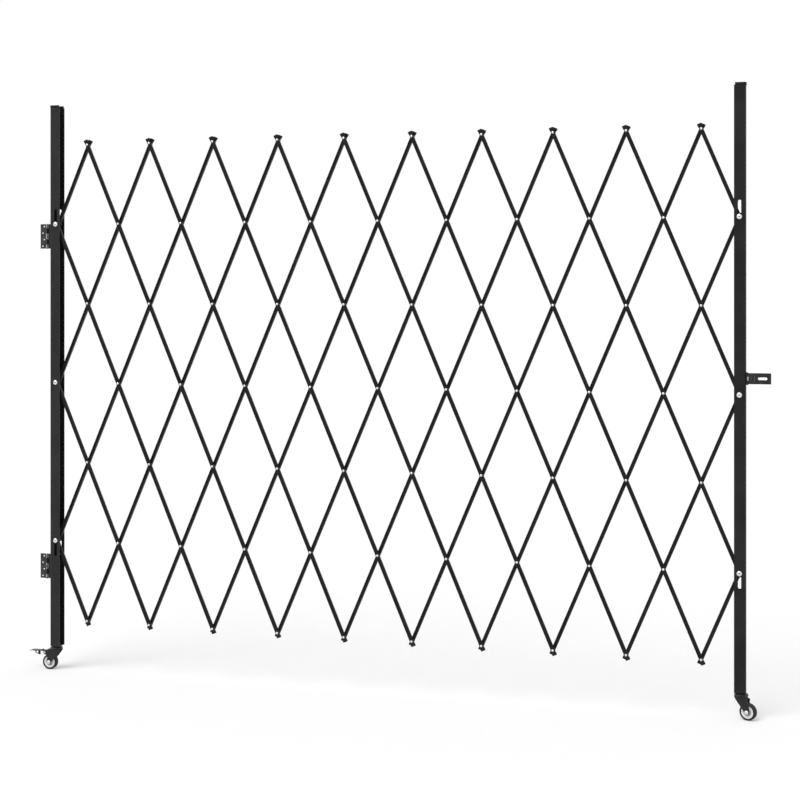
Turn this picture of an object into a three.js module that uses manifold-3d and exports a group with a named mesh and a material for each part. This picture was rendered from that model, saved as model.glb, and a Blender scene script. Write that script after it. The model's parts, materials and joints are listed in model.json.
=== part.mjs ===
// Folding scissor gate: a riveted lattice between two channel posts, with wall hinges,
// swivel casters and a hasp. Millimetres; X runs along the gate, -Y is the front, Z is up.
import * as THREE from "three";
import { mergeVertices } from "three/addons/utils/BufferGeometryUtils.js";
import Module from "manifold-3d";

const wasm = await Module();
wasm.setup();

// Lattice
const crossingPitch = 287; // along a bar, between neighbouring pivots
const restLeanDegrees = 22.9; // bars from upright, with the gate fully open
const columnSteps = 20; // half crossings from the left pin line to the right one
const lowestLevel = 6; // rows of pivots are counted from 0 at the top
const middleLevel = 3; // the row held by the middle pins
const barWidth = 10.4;
const barDepth = 8;
const barSheet = 1.5;
const layerSpacing = 12.5; // between the middles of the front and the rear bars
const barTail = 12.5; // bar past its last pivot
const tipWidth = 14;
const tipDepth = 10;
const tipLength = 5.5; // tip over the bar, from its open end
const tipEndWall = 4;
const rivetHeadRadius = 5.1;
const rivetHeadHeight = 2.3;
const rivetShankRadius = 2.8;
const rivetPlay = 0.85; // added to a shank radius in the bar that turns on it
const rivetSides = 6;

// Posts
const postHeight = 1803;
const postWidth = 35;
const postDepth = 35;
const postWall = 2;
const webOutboard = 19.5; // outer face of the web from the pin line
const middlePinHeight = 883; // above the foot of the post
const slotWidth = 10.6;
const slotLength = 50; // from the pin's rest place to the far slot end's centre
const footThickness = 3;
const capHeight = 7;
const capProud = 1.2;
const capSetback = 3; // cap short of the channel's open edge
const capPlugDepth = 12;

// Post pins
const pinHeadRadius = 7.5;
const pinHeadHeight = 2.4;
const pinBushRadius = 4.9;
const pinShankRadius = 2.8;
const pinPlay = 0.85;
const pinSides = 8;

// Wall hinges
const hingeHeight = 82;
const hingeEndKnuckle = 13.5;
const hingeMiddleKnuckle = 18;
const hingeAxisOutboard = 14; // from the web face of the left post
const hingeAxisSetback = 5.5; // from the front face of the left post
const knuckleRadius = 3.65;
const hingePinRadius = 1.9;
const hingePinHeadRadius = 2.9;
const hingePinHeadHeight = 1.2;
const leafThickness = 2;
const wallLeafWidth = 25;
const postLeafReach = 26;
const upperHingeHeight = 1372; // above the foot of the post
const lowerHingeHeight = 267;
const screwHoleRadius = 2.5;
const screwRowPitch = 22;
const screwColumnPitch = 5;
const screwRows = 4;
const roundSides = 10;

// Casters
const casterHeight = 80;
const casterOutboard = 5; // swivel axis from the pin line
const trail = 22;
const wheelRadius = 25;
const wheelWidth = 18;
const tyreRoll = 2; // rounding of the tyre's shoulders
const treadDepth = 5.5;
const rimDepth = 3;
const rimHalfWidth = 8;
const coreWebHalfWidth = 3;
const hubRadius = 7.5;
const hubHalfWidth = 10.2;
const axleRadius = 3;
const axleHeadRadius = 6.3;
const axleHeadHeight = 3;
const axleNutRadius = 5.5;
const forkHalfInside = 10.5;
const forkSheet = 2.5;
const crownRadius = 21;
const crownHeight = 7;
const raceRadius = 15;
const raceHeight = 3;
const stemRadius = 4;
const stemNutRadius = 7.2;
const stemNutHeight = 6.5;
const stemHeadRadius = 8;
const stemHeadHeight = 3;
const legBossRadius = 8;
const rightCasterTurnDegrees = -22;
const wheelSides = 18;

// Brake pedal of the left caster
const pedalReach = 98; // tip from the swivel axis
const pedalSheet = 2;
const pedalHalfWidth = 11;
const pedalNeckHalfWidth = 9.4;
const pedalNeckLength = 12;
const pedalBarrelRadius = 4;
const pedalPinRadius = 1.6;
const pedalPinHeadRadius = 3;
const pedalPinHeadHeight = 1.5;
const pedalLugHalfWidth = 1.5;
const pedalLugHoleRadius = 4;
const pedalTabHeight = 3.5;
const shoeHalfWidth = 7;
const shoeLength = 4;
const shoeDrop = 10;

// Hasp on the right post
const haspHeight = 32.7;
const haspMiddleAbovePin = 49.4;
const haspAxisForward = 3.8; // in front of the post's front face
const haspReach = 92; // strap end from the right pin line
const haspStepPlace = 43; // step of the strap from the right pin line
const haspStepDepth = 3;
const haspStepLength = 3;
const strapThickness = 2.5;
const fixedLeafHeight = 36;
const fixedLeafReach = 30;
const strapSlotLength = 27;
const strapSlotHeight = 7.9;
const strapSlotFromEnd = 11;
const strapCorner = 4;

// Fits
const seatGap = 0.3; // between pieces that touch
const turnGap = 0.45; // between a pin and what turns on it

// Outlines as shares of the trail and of the drop from the post's foot to the axle
const plainLegShares = [
  [-0.78, 0.14], [0.78, 0.14], [1.0, 0.18], [1.08, 0.3], [1.36, 0.9], [0.62, 0.97], [-0.36, 0.5], [-0.78, 0.27],
];
const brakeLegShares = [
  [-0.78, 0.14], [0.78, 0.14], [1.62, 0.3], [1.92, 0.36], [1.92, 0.5], [1.45, 0.56], [1.36, 0.9],
  [0.62, 0.97], [-0.36, 0.5], [-0.78, 0.27],
];
const pedalPivotShares = [1.66, 0.42];
const pedalPlateShare = 0.33; // top of the pedal below the foot of the post
const pedalLugShares = [
  [3.64, 0.35], [2.82, 0.35], [2.72, 0.44], [2.66, 0.6], [2.78, 0.64], [2.95, 0.6], [3.2, 0.59], [3.52, 0.5],
];
const pedalLugHoleShares = [3.22, 0.47];
const pedalTabShare = 2.12;

// Derived places
const restLean = THREE.MathUtils.degToRad(restLeanDegrees);
const columnWidth = crossingPitch * Math.sin(restLean);
const levelDrop = crossingPitch * Math.cos(restLean);
const latticeWidth = columnSteps * columnWidth;
const footZ = -middlePinHeight;
const postTopZ = footZ + postHeight;
const postFrontY = -postDepth / 2;
const lipInboard = postWidth - webOutboard;
const barFaceY = (layerSpacing + barDepth) / 2; // outer faces of the two layers
const hingeX = -webOutboard - hingeAxisOutboard;
const hingeY = postFrontY + hingeAxisSetback;
const leafBackY = hingeY + knuckleRadius;
const leafFrontY = leafBackY - leafThickness;
const hingeZs = { upper: footZ + upperHingeHeight, lower: footZ + lowerHingeHeight };
const axleDrop = casterHeight - wheelRadius;
const coreRadius = wheelRadius - treadDepth - seatGap;
const crownTop = -seatGap - raceHeight - seatGap;
const haspX = latticeWidth + webOutboard + seatGap + knuckleRadius;
const haspY = postFrontY - haspAxisForward;
const haspZ = haspMiddleAbovePin;
const origin = [hingeX - wallLeafWidth / 2, leafBackY, hingeZs.upper];

function solidFrom(geometry) {
  const bare = geometry.clone();
  bare.deleteAttribute("normal");
  bare.deleteAttribute("uv");
  const merged = mergeVertices(bare);
  const vertProperties = new Float32Array(merged.attributes.position.array);
  const triVerts = new Uint32Array(merged.index.array);
  return new wasm.Manifold(new wasm.Mesh({ numProp: 3, vertProperties, triVerts }));
}

function geometryFrom(solid) {
  const mesh = solid.getMesh();
  const geometry = new THREE.BufferGeometry();
  geometry.setAttribute("position", new THREE.BufferAttribute(new Float32Array(mesh.vertProperties), 3));
  geometry.setIndex(new THREE.BufferAttribute(new Uint32Array(mesh.triVerts), 1));
  return geometry;
}

function join(pieces) {
  return geometryFrom(pieces.map(solidFrom).reduce((whole, piece) => whole.add(piece)));
}

function cut(piece, tools) {
  return geometryFrom(tools.map(solidFrom).reduce((whole, tool) => whole.subtract(tool), solidFrom(piece)));
}

function block(low, high) {
  const size = high.map((value, axis) => value - low[axis]);
  const middle = high.map((value, axis) => (value + low[axis]) / 2);
  return new THREE.BoxGeometry(size[0], size[1], size[2]).translate(middle[0], middle[1], middle[2]);
}

// Round rod along Y at (x, z), from one Y to the other.
function crossRod(radius, x, z, fromY, toY, sides = roundSides) {
  const rod = new THREE.CylinderGeometry(radius, radius, toY - fromY, sides);
  return rod.translate(x, (fromY + toY) / 2, z);
}

// Round rod along Z at (x, y), from one Z to the other.
function uprightRod(radius, x, y, fromZ, toZ, sides = roundSides) {
  const rod = new THREE.CylinderGeometry(radius, radius, toZ - fromZ, sides);
  return rod.rotateX(Math.PI / 2).translate(x, y, (fromZ + toZ) / 2);
}

// Piece turned about Y from [radius, y] pairs; a profile off the axis is closed into a ring.
function turned(profile, sides) {
  const onAxis = profile[0][0] === 0;
  const points = (onAxis ? profile : [...profile, profile[0]]).map(([r, y]) => new THREE.Vector2(r, y));
  return new THREE.LatheGeometry(points, sides);
}

// Plate lying in the XZ plane with the given outline and holes, from one Y to the other.
function uprightPlate(outline, fromY, toY, holes = []) {
  const shape = new THREE.Shape(outline.map(([x, z]) => new THREE.Vector2(x, z)));
  shape.holes.push(...holes);
  const plate = new THREE.ExtrudeGeometry(shape, { depth: toY - fromY, bevelEnabled: false, curveSegments: roundSides });
  return plate.rotateX(Math.PI / 2).translate(0, toY, 0);
}

// Plan outline in XY carried up from one Z to the other.
function standingPlate(outline, fromZ, toZ) {
  const shape = new THREE.Shape(outline.map(([x, y]) => new THREE.Vector2(x, y)));
  return new THREE.ExtrudeGeometry(shape, { depth: toZ - fromZ, bevelEnabled: false }).translate(0, 0, fromZ);
}

// Upright slot with round ends through one flange, between two centres.
function uprightSlot(x, fromZ, toZ, fromY, toY) {
  const low = Math.min(fromZ, toZ);
  const high = Math.max(fromZ, toZ);
  const half = slotWidth / 2;
  return join([
    block([x - half, fromY, low], [x + half, toY, high]),
    crossRod(half, x, low, fromY, toY),
    crossRod(half, x, high, fromY, toY),
  ]);
}

function levelZ(level) {
  return (middleLevel - level) * levelDrop;
}

// Top pivot, pivot count and lean of a bar that falls to the right.
function fallingBar(offset) {
  const first = Math.max(0, offset);
  const last = Math.min(columnSteps, offset + lowestLevel);
  return { column: first, level: first - offset, step: 1, pivots: last - first + 1, lean: -restLean };
}

// The same for a bar that falls to the left.
function risingBar(sum) {
  const last = Math.min(columnSteps, sum);
  const first = Math.max(0, sum - lowestLevel);
  return { column: last, level: sum - last, step: -1, pivots: last - first + 1, lean: restLean };
}

// Upright channel with its tips, top pivot at the origin and the web on the given side.
function barShell(pivots, side) {
  const top = barTail;
  const bottom = -(pivots - 1) * crossingPitch - barTail;
  const middleY = (side * layerSpacing) / 2;
  const webY = side * barFaceY;
  const openY = webY - side * barDepth;
  const insideY = webY - side * barSheet;
  const halfInside = barWidth / 2 - barSheet;
  const blank = block(
    [-barWidth / 2, Math.min(webY, openY), bottom],
    [barWidth / 2, Math.max(webY, openY), top],
  );
  const pastOpenY = openY - side * barSheet;
  const hollow = block(
    [-halfInside, Math.min(insideY, pastOpenY), bottom - barTail],
    [halfInside, Math.max(insideY, pastOpenY), top + barTail],
  );
  const tips = [
    [top - tipLength, top + tipEndWall],
    [bottom - tipEndWall, bottom + tipLength],
  ].map(([low, high]) => block([-tipWidth / 2, middleY - tipDepth / 2, low], [tipWidth / 2, middleY + tipDepth / 2, high]));
  return join([cut(blank, [hollow]), ...tips]);
}

// Rivet fixed in a front bar: outer head, shank through the rear bar and rear head.
function rivet(z) {
  const rearHead = barFaceY + seatGap;
  return turned(
    [
      [0, -barFaceY - rivetHeadHeight],
      [rivetHeadRadius, -barFaceY - rivetHeadHeight],
      [rivetHeadRadius, -barFaceY],
      [rivetShankRadius, -barFaceY],
      [rivetShankRadius, rearHead],
      [rivetHeadRadius, rearHead],
      [rivetHeadRadius, rearHead + rivetHeadHeight],
      [0, rearHead + rivetHeadHeight],
    ],
    rivetSides,
  ).translate(0, 0, z);
}

function pivotHole(radius, z, side) {
  const webY = side * barFaceY;
  const ends = [webY + side * barSheet, webY - side * barSheet * 2];
  return crossRod(radius, 0, z, Math.min(...ends), Math.max(...ends), rivetSides);
}

function placeBar(geometry, bar) {
  return geometry.rotateY(bar.lean).translate(bar.column * columnWidth, 0, levelZ(bar.level));
}

function barPivots(bar) {
  return Array.from({ length: bar.pivots }, (_, index) => ({
    z: -index * crossingPitch,
    atPost: [0, columnSteps].includes(bar.column + bar.step * index),
  }));
}

function frontBar(offset) {
  const bar = fallingBar(offset);
  const pivots = barPivots(bar);
  const riveted = join([barShell(bar.pivots, -1), ...pivots.filter((p) => !p.atPost).map((p) => rivet(p.z))]);
  const holes = pivots.filter((p) => p.atPost).map((p) => pivotHole(pinShankRadius + pinPlay, p.z, -1));
  return placeBar(cut(riveted, holes), bar);
}

function rearBar(sum) {
  const bar = risingBar(sum);
  const holes = barPivots(bar).map((p) => {
    const radius = p.atPost ? pinShankRadius + pinPlay : rivetShankRadius + rivetPlay;
    return pivotHole(radius, p.z, 1);
  });
  return placeBar(cut(barShell(bar.pivots, 1), holes), bar);
}

// Channel post with its open side inboard; side is -1 for the left post and 1 for the right.
function post(side) {
  const pinX = side < 0 ? 0 : latticeWidth;
  const xs = (...values) => values.map((value) => pinX + side * value).sort((a, b) => a - b);
  const [blankLow, blankHigh] = xs(webOutboard, -lipInboard);
  const halfDepth = postDepth / 2;
  const halfInside = halfDepth - postWall;
  const blank = block([blankLow, -halfDepth, footZ], [blankHigh, halfDepth, postTopZ]);
  const [openLow, openHigh] = xs(webOutboard - postWall, -lipInboard - postWall);
  const hollow = block([openLow, -halfInside, footZ + footThickness], [openHigh, halfInside, postTopZ + postWall]);
  const stemHole = uprightRod(
    stemRadius + turnGap, pinX + side * casterOutboard, 0, footZ - footThickness, footZ + footThickness * 2,
  );
  const throughY = [-halfDepth - postWall, halfDepth + postWall];
  const cuts = [
    hollow,
    stemHole,
    crossRod(pinBushRadius + turnGap, pinX, 0, throughY[0], throughY[1]),
    uprightSlot(pinX, levelZ(1), levelZ(1) + slotLength, throughY[0], throughY[1]),
    uprightSlot(pinX, levelZ(lowestLevel - 1), levelZ(lowestLevel - 1) - slotLength, throughY[0], throughY[1]),
  ];
  return cut(blank, cuts);
}

function postCap(side) {
  const pinX = side < 0 ? 0 : latticeWidth;
  const xs = (...values) => values.map((value) => pinX + side * value).sort((a, b) => a - b);
  const [capLow, capHigh] = xs(webOutboard + capProud, capSetback - lipInboard);
  const [plugLow, plugHigh] = xs(webOutboard - postWall - seatGap, capSetback - lipInboard);
  const capHalf = postDepth / 2 + capProud;
  const plugHalf = postDepth / 2 - postWall - seatGap;
  const under = postTopZ + seatGap;
  return join([
    block([capLow, -capHalf, under], [capHigh, capHalf, postTopZ + capHeight]),
    block([plugLow, -plugHalf, postTopZ - capPlugDepth], [plugHigh, plugHalf, under]),
  ]);
}

// Shouldered pin through both flanges and both bars at one post pivot.
function postPin(column, level) {
  const headUnder = postDepth / 2 + seatGap;
  const bushEnd = barFaceY + seatGap;
  const rear = [
    [pinShankRadius, bushEnd],
    [pinBushRadius, bushEnd],
    [pinBushRadius, headUnder],
    [pinHeadRadius, headUnder],
    [pinHeadRadius, headUnder + pinHeadHeight],
    [0, headUnder + pinHeadHeight],
  ];
  const front = rear.map(([radius, y]) => [radius, -y]).reverse();
  return turned([...front, ...rear], pinSides).translate(column * columnWidth, 0, levelZ(level));
}

// Knuckle tube about the hinge line at (x, y).
function knuckle(x, y, fromZ, toZ, boreRadius) {
  const past = seatGap;
  return cut(uprightRod(knuckleRadius, x, y, fromZ, toZ), [
    uprightRod(boreRadius, x, y, fromZ - past, toZ + past),
  ]);
}

// Tops and bottoms of the five knuckles of a wall hinge, from the top one down.
function knuckleSpans(middleZ) {
  const between = (hingeHeight - 2 * hingeEndKnuckle - hingeMiddleKnuckle) / 2;
  const lengths = [hingeEndKnuckle, between, hingeMiddleKnuckle, between, hingeEndKnuckle];
  let top = middleZ + hingeHeight / 2;
  return lengths.map((length) => {
    const span = [top - length + seatGap / 2, top - seatGap / 2];
    top -= length;
    return span;
  });
}

// Leaf plate cut back around the knuckles of the other leaf, with its own knuckles joined on.
function hingeLeaf(plates, middleZ, own) {
  const spans = knuckleSpans(middleZ);
  const clear = knuckleRadius + turnGap;
  const bore = hingePinRadius + turnGap;
  const notches = spans
    .filter((_, index) => index % 2 !== own)
    .map(([low, high]) =>
      block([hingeX - clear, hingeY - clear, low - seatGap], [hingeX + clear, hingeY + clear, high + seatGap]));
  const boreRod = uprightRod(bore, hingeX, hingeY, middleZ - hingeHeight, middleZ + hingeHeight);
  const barrels = spans
    .filter((_, index) => index % 2 === own)
    .map(([low, high]) => uprightRod(knuckleRadius, hingeX, hingeY, low, high));
  return cut(join([cut(join(plates), notches), ...barrels]), [boreRod]);
}

function wallLeaf(middleZ) {
  const half = hingeHeight / 2;
  const plate = block([hingeX - wallLeafWidth, leafFrontY, middleZ - half], [hingeX, leafBackY, middleZ + half]);
  const holes = Array.from({ length: screwRows }, (_, row) => {
    const z = middleZ + (row - (screwRows - 1) / 2) * screwRowPitch;
    const x = hingeX - (wallLeafWidth + knuckleRadius) / 2 + ((row % 2) - 1 / 2) * screwColumnPitch;
    return crossRod(screwHoleRadius, x, z, leafFrontY - leafThickness, leafBackY + leafThickness, pinSides);
  });
  return cut(hingeLeaf([plate], middleZ, 0), holes);
}

function postLeaf(middleZ) {
  const half = hingeHeight / 2;
  const webFace = -webOutboard - seatGap;
  const plates = [
    block([hingeX, leafFrontY, middleZ - half], [webFace, leafBackY, middleZ + half]),
    block([webFace - leafThickness, leafFrontY, middleZ - half], [webFace, leafFrontY + postLeafReach, middleZ + half]),
  ];
  return hingeLeaf(plates, middleZ, 1);
}

// Pin with a head at each end, about an upright line.
function headedPin(x, y, radius, headRadius, headHeight, low, high, sides) {
  const profile = [
    [0, low - headHeight],
    [headRadius, low - headHeight],
    [headRadius, low],
    [radius, low],
    [radius, high],
    [headRadius, high],
    [headRadius, high + headHeight],
    [0, high + headHeight],
  ];
  return turned(profile, sides).rotateX(Math.PI / 2).translate(x, y, 0);
}

function hingePin(middleZ) {
  const reach = hingeHeight / 2 + seatGap;
  return headedPin(
    hingeX, hingeY, hingePinRadius, hingePinHeadRadius, hingePinHeadHeight, middleZ - reach, middleZ + reach, pinSides,
  );
}

// Caster pieces are made with the trail along X and the foot of the post at Z = 0.
function casterStem() {
  const neck = crownTop - forkSheet - seatGap;
  const profile = [
    [0, neck - stemHeadHeight],
    [stemHeadRadius, neck - stemHeadHeight],
    [stemHeadRadius, neck],
    [stemRadius, neck],
    [stemRadius, -seatGap - raceHeight],
    [raceRadius, -seatGap - raceHeight],
    [raceRadius, -seatGap],
    [stemRadius, -seatGap],
    [stemRadius, footThickness + seatGap],
    [stemNutRadius, footThickness + seatGap],
    [stemNutRadius, footThickness + seatGap + stemNutHeight],
    [0, footThickness + seatGap + stemNutHeight],
  ];
  return turned(profile, roundSides).rotateX(Math.PI / 2);
}

function sharedPoint([alongShare, dropShare]) {
  return [alongShare * trail, -dropShare * axleDrop];
}

function casterFork(legShares, pedalBore) {
  const bore = stemRadius + turnGap;
  const crown = turned(
    [
      [bore, crownTop - forkSheet],
      [crownRadius - forkSheet, crownTop - forkSheet],
      [crownRadius - forkSheet, crownTop - crownHeight],
      [crownRadius, crownTop - crownHeight],
      [crownRadius, crownTop],
      [bore, crownTop],
    ],
    wheelSides,
  ).rotateX(Math.PI / 2);
  const outline = legShares.map(sharedPoint);
  const legs = [-1, 1].flatMap((side) => {
    const faces = [side * forkHalfInside, side * (forkHalfInside + forkSheet)].sort((a, b) => a - b);
    return [
      uprightPlate(outline, faces[0], faces[1]),
      crossRod(legBossRadius, trail, -axleDrop, faces[0], faces[1]),
    ];
  });
  const past = forkHalfInside + forkSheet * 2;
  const bores = [crossRod(axleRadius + turnGap, trail, -axleDrop, -past, past)];
  if (pedalBore) {
    const [x, z] = sharedPoint(pedalPivotShares);
    bores.push(crossRod(pedalPinRadius + turnGap, x, z, -past, past));
  }
  return cut(join([crown, ...legs]), bores);
}

// Pin across the fork with a round head on the given side and a smaller one on the other.
function forkPin(place, radius, headRadius, endRadius, headHeight, side) {
  const under = forkHalfInside + forkSheet + seatGap;
  const profile = [
    [0, -under - headHeight],
    [headRadius, -under - headHeight],
    [headRadius, -under],
    [radius, -under],
    [radius, under],
    [endRadius, under],
    [endRadius, under + headHeight],
    [0, under + headHeight],
  ];
  const pin = turned(profile, roundSides);
  return (side > 0 ? pin.rotateX(Math.PI) : pin).translate(place[0], 0, place[1]);
}

function wheelCore() {
  const bore = axleRadius + turnGap;
  const rimInside = coreRadius - rimDepth;
  const half = [
    [hubRadius, hubHalfWidth],
    [hubRadius, coreWebHalfWidth],
    [rimInside, coreWebHalfWidth],
    [rimInside, rimHalfWidth],
    [coreRadius, rimHalfWidth],
  ];
  const front = [[bore, -hubHalfWidth], ...half.map(([radius, y]) => [radius, -y])];
  return turned([...front, ...half.reverse(), [bore, hubHalfWidth]], wheelSides).translate(trail, 0, -axleDrop);
}

function tyre() {
  const half = wheelWidth / 2;
  const inside = coreRadius + seatGap;
  const profile = [
    [inside, -half],
    [wheelRadius - tyreRoll, -half],
    [wheelRadius, tyreRoll - half],
    [wheelRadius, half - tyreRoll],
    [wheelRadius - tyreRoll, half],
    [inside, half],
  ];
  return turned(profile, wheelSides).translate(trail, 0, -axleDrop);
}

function brakePedal() {
  const [pivotX, pivotZ] = sharedPoint(pedalPivotShares);
  const plateTop = -pedalPlateShare * axleDrop;
  const neckEnd = pivotX + pedalNeckLength;
  const plateLow = plateTop - pedalSheet;
  const tabX = pedalTabShare * trail;
  const lugHole = new THREE.Path();
  const [holeX, holeZ] = sharedPoint(pedalLugHoleShares);
  lugHole.absarc(holeX, holeZ, pedalLugHoleRadius, 0, Math.PI * 2, true);
  const bend = pedalBarrelRadius - pedalSheet;
  const pieces = [
    block([pivotX - pedalSheet, -pedalNeckHalfWidth, plateLow], [neckEnd, pedalNeckHalfWidth, plateTop]),
    block([neckEnd - pedalSheet, -pedalHalfWidth, plateLow], [pedalReach, pedalHalfWidth, plateTop]),
    block([pivotX - bend, -pedalNeckHalfWidth, pivotZ], [pivotX + bend, pedalNeckHalfWidth, plateTop]),
    crossRod(pedalBarrelRadius, pivotX, pivotZ, -pedalNeckHalfWidth, pedalNeckHalfWidth),
    block(
      [pivotX + pedalSheet, -shoeHalfWidth, pivotZ - shoeDrop],
      [pivotX + pedalSheet + shoeLength, shoeHalfWidth, plateTop],
    ),
    uprightPlate(pedalLugShares.map(sharedPoint), -pedalLugHalfWidth, pedalLugHalfWidth, [lugHole]),
    block([tabX - pedalSheet / 2, -shoeHalfWidth, plateLow], [tabX + pedalSheet / 2, shoeHalfWidth, plateTop + pedalTabHeight]),
  ];
  const bore = crossRod(pedalPinRadius + turnGap, pivotX, pivotZ, -forkHalfInside, forkHalfInside);
  return cut(join(pieces), [bore]);
}

function placeCaster(geometry, side) {
  const turn = side < 0 ? Math.PI : THREE.MathUtils.degToRad(rightCasterTurnDegrees);
  const pinX = side < 0 ? 0 : latticeWidth;
  return geometry.rotateZ(turn).translate(pinX + side * casterOutboard, 0, footZ);
}

// Hasp: the fixed leaf carries the outer knuckles, the strap the middle one.
function haspSpans() {
  const third = haspHeight / 3;
  return [-1, 0, 1].map((step) => {
    const middle = haspZ + step * third;
    return [middle - (third - seatGap) / 2, middle + (third - seatGap) / 2];
  });
}

function haspFixedLeaf() {
  const webFace = latticeWidth + webOutboard + seatGap;
  const clear = knuckleRadius + turnGap;
  const half = fixedLeafHeight / 2;
  const plate = block([webFace, haspY, haspZ - half], [webFace + leafThickness, haspY + fixedLeafReach, haspZ + half]);
  const spans = haspSpans();
  const notch = block(
    [haspX - clear - seatGap, haspY - clear, spans[1][0] - seatGap],
    [haspX + clear, haspY + clear, spans[1][1] + seatGap],
  );
  const barrels = [
    uprightRod(knuckleRadius, haspX, haspY, haspZ - half, spans[0][1]),
    uprightRod(knuckleRadius, haspX, haspY, spans[2][0], haspZ + half),
  ];
  const bore = uprightRod(hingePinRadius + turnGap, haspX, haspY, haspZ - haspHeight, haspZ + haspHeight);
  return cut(join([cut(plate, [notch]), ...barrels]), [bore]);
}

function haspStrap() {
  const clear = knuckleRadius + turnGap;
  const frontY = haspY - knuckleRadius;
  const backY = frontY + strapThickness;
  const stepX = latticeWidth + haspStepPlace;
  const endX = latticeWidth + haspReach;
  const half = haspHeight / 2;
  const section = [
    [haspX, frontY],
    [stepX, frontY],
    [stepX + haspStepLength, frontY + haspStepDepth],
    [endX, frontY + haspStepDepth],
    [endX, backY + haspStepDepth],
    [stepX + haspStepLength, backY + haspStepDepth],
    [stepX, backY],
    [haspX, backY],
  ];
  const spans = haspSpans();
  const notches = [spans[0], spans[2]].map(([low, high]) =>
    block(
      [haspX - clear, haspY - clear, low - knuckleRadius - seatGap],
      [haspX + clear, haspY + clear, high + seatGap],
    ));
  notches[1].translate(0, 0, knuckleRadius);
  const slotHalf = strapSlotHeight / 2;
  const slotHigh = endX - strapSlotFromEnd - slotHalf;
  const slotLow = endX - strapSlotFromEnd - strapSlotLength + slotHalf;
  const slotY = [frontY, backY + haspStepDepth * 2];
  const cornerCuts = [-1, 1].map((side) => {
    const tip = haspZ + side * half;
    return uprightPlate(
      [[endX - strapCorner, tip + side * seatGap], [endX + seatGap, tip + side * seatGap], [endX + seatGap, tip - side * strapCorner]],
      slotY[0], slotY[1],
    );
  });
  const slot = join([
    block([slotLow, slotY[0], haspZ - slotHalf], [slotHigh, slotY[1], haspZ + slotHalf]),
    crossRod(slotHalf, slotLow, haspZ, slotY[0], slotY[1]),
    crossRod(slotHalf, slotHigh, haspZ, slotY[0], slotY[1]),
  ]);
  const barrel = uprightRod(knuckleRadius, haspX, haspY, spans[1][0], spans[1][1]);
  const plate = cut(standingPlate(section, haspZ - half, haspZ + half), [...notches, slot, ...cornerCuts]);
  const bore = uprightRod(hingePinRadius + turnGap, haspX, haspY, haspZ - haspHeight, haspZ + haspHeight);
  return cut(join([plate, barrel]), [bore]);
}

function haspPin() {
  const reach = fixedLeafHeight / 2 + seatGap;
  return headedPin(
    haspX, haspY, hingePinRadius, hingePinHeadRadius, hingePinHeadHeight, haspZ - reach, haspZ + reach, pinSides,
  );
}

function blackPaint() {
  return new THREE.MeshStandardMaterial({ color: 0x1d1d1f, roughness: 0.45, metalness: 0.3 });
}

function zinc() {
  return new THREE.MeshStandardMaterial({ color: 0xb9bcc0, roughness: 0.35, metalness: 0.9 });
}

function blackPlastic() {
  return new THREE.MeshStandardMaterial({ color: 0x121213, roughness: 0.6, metalness: 0 });
}

function palePlastic() {
  return new THREE.MeshStandardMaterial({ color: 0xd9d8d2, roughness: 0.5, metalness: 0 });
}

function blackRubber() {
  return new THREE.MeshStandardMaterial({ color: 0x161617, roughness: 0.8, metalness: 0 });
}

const gate = new THREE.Group();

function addPiece(name, geometry, material) {
  const mesh = new THREE.Mesh(geometry.translate(-origin[0], -origin[1], -origin[2]), material);
  mesh.name = name;
  gate.add(mesh);
}

for (const [place, middleZ] of Object.entries(hingeZs)) {
  addPiece(`${place}_wall_leaf`, wallLeaf(middleZ), blackPaint());
  addPiece(`${place}_post_leaf`, postLeaf(middleZ), blackPaint());
  addPiece(`${place}_hinge_pin`, hingePin(middleZ), zinc());
}

for (const [place, side, column] of [["left", -1, 0], ["right", 1, columnSteps]]) {
  addPiece(`${place}_post`, post(side), blackPaint());
  addPiece(`${place}_post_cap`, postCap(side), blackPlastic());
  addPiece(`${place}_upper_pin`, postPin(column, 1), zinc());
  addPiece(`${place}_middle_pin`, postPin(column, middleLevel), zinc());
  addPiece(`${place}_lower_pin`, postPin(column, lowestLevel - 1), zinc());
}

const barCount = (columnSteps + lowestLevel) / 2;
for (let index = 0; index < barCount; index += 1) {
  const number = String(index + 1).padStart(2, "0");
  addPiece(`front_bar_${number}`, frontBar(2 * index + 1 - lowestLevel), blackPaint());
  addPiece(`rear_bar_${number}`, rearBar(2 * index + 1), blackPaint());
}

for (const [place, side, legShares] of [["left", -1, brakeLegShares], ["right", 1, plainLegShares]]) {
  const axlePlace = [trail, -axleDrop];
  addPiece(`${place}_caster_stem`, placeCaster(casterStem(), side), zinc());
  addPiece(`${place}_caster_fork`, placeCaster(casterFork(legShares, side < 0), side), blackPaint());
  const axle = forkPin(axlePlace, axleRadius, axleHeadRadius, axleNutRadius, axleHeadHeight, -side);
  addPiece(`${place}_axle`, placeCaster(axle, side), zinc());
  addPiece(`${place}_wheel_core`, placeCaster(wheelCore(), side), palePlastic());
  addPiece(`${place}_tyre`, placeCaster(tyre(), side), blackRubber());
}

const pedalPlace = sharedPoint(pedalPivotShares);
const pedalPin = forkPin(pedalPlace, pedalPinRadius, pedalPinHeadRadius, pedalPinHeadRadius, pedalPinHeadHeight, 1);
addPiece("brake_pedal", placeCaster(brakePedal(), -1), blackPaint());
addPiece("brake_pedal_pin", placeCaster(pedalPin, -1), zinc());

addPiece("hasp_fixed_leaf", haspFixedLeaf(), blackPaint());
addPiece("hasp_strap", haspStrap(), blackPaint());
addPiece("hasp_pin", haspPin(), zinc());

export default gate;
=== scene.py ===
# Dresses the folding scissor gate: bent sheet metal, riveted bars, wall hinges, casters and hasp.
import json
import math

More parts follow.
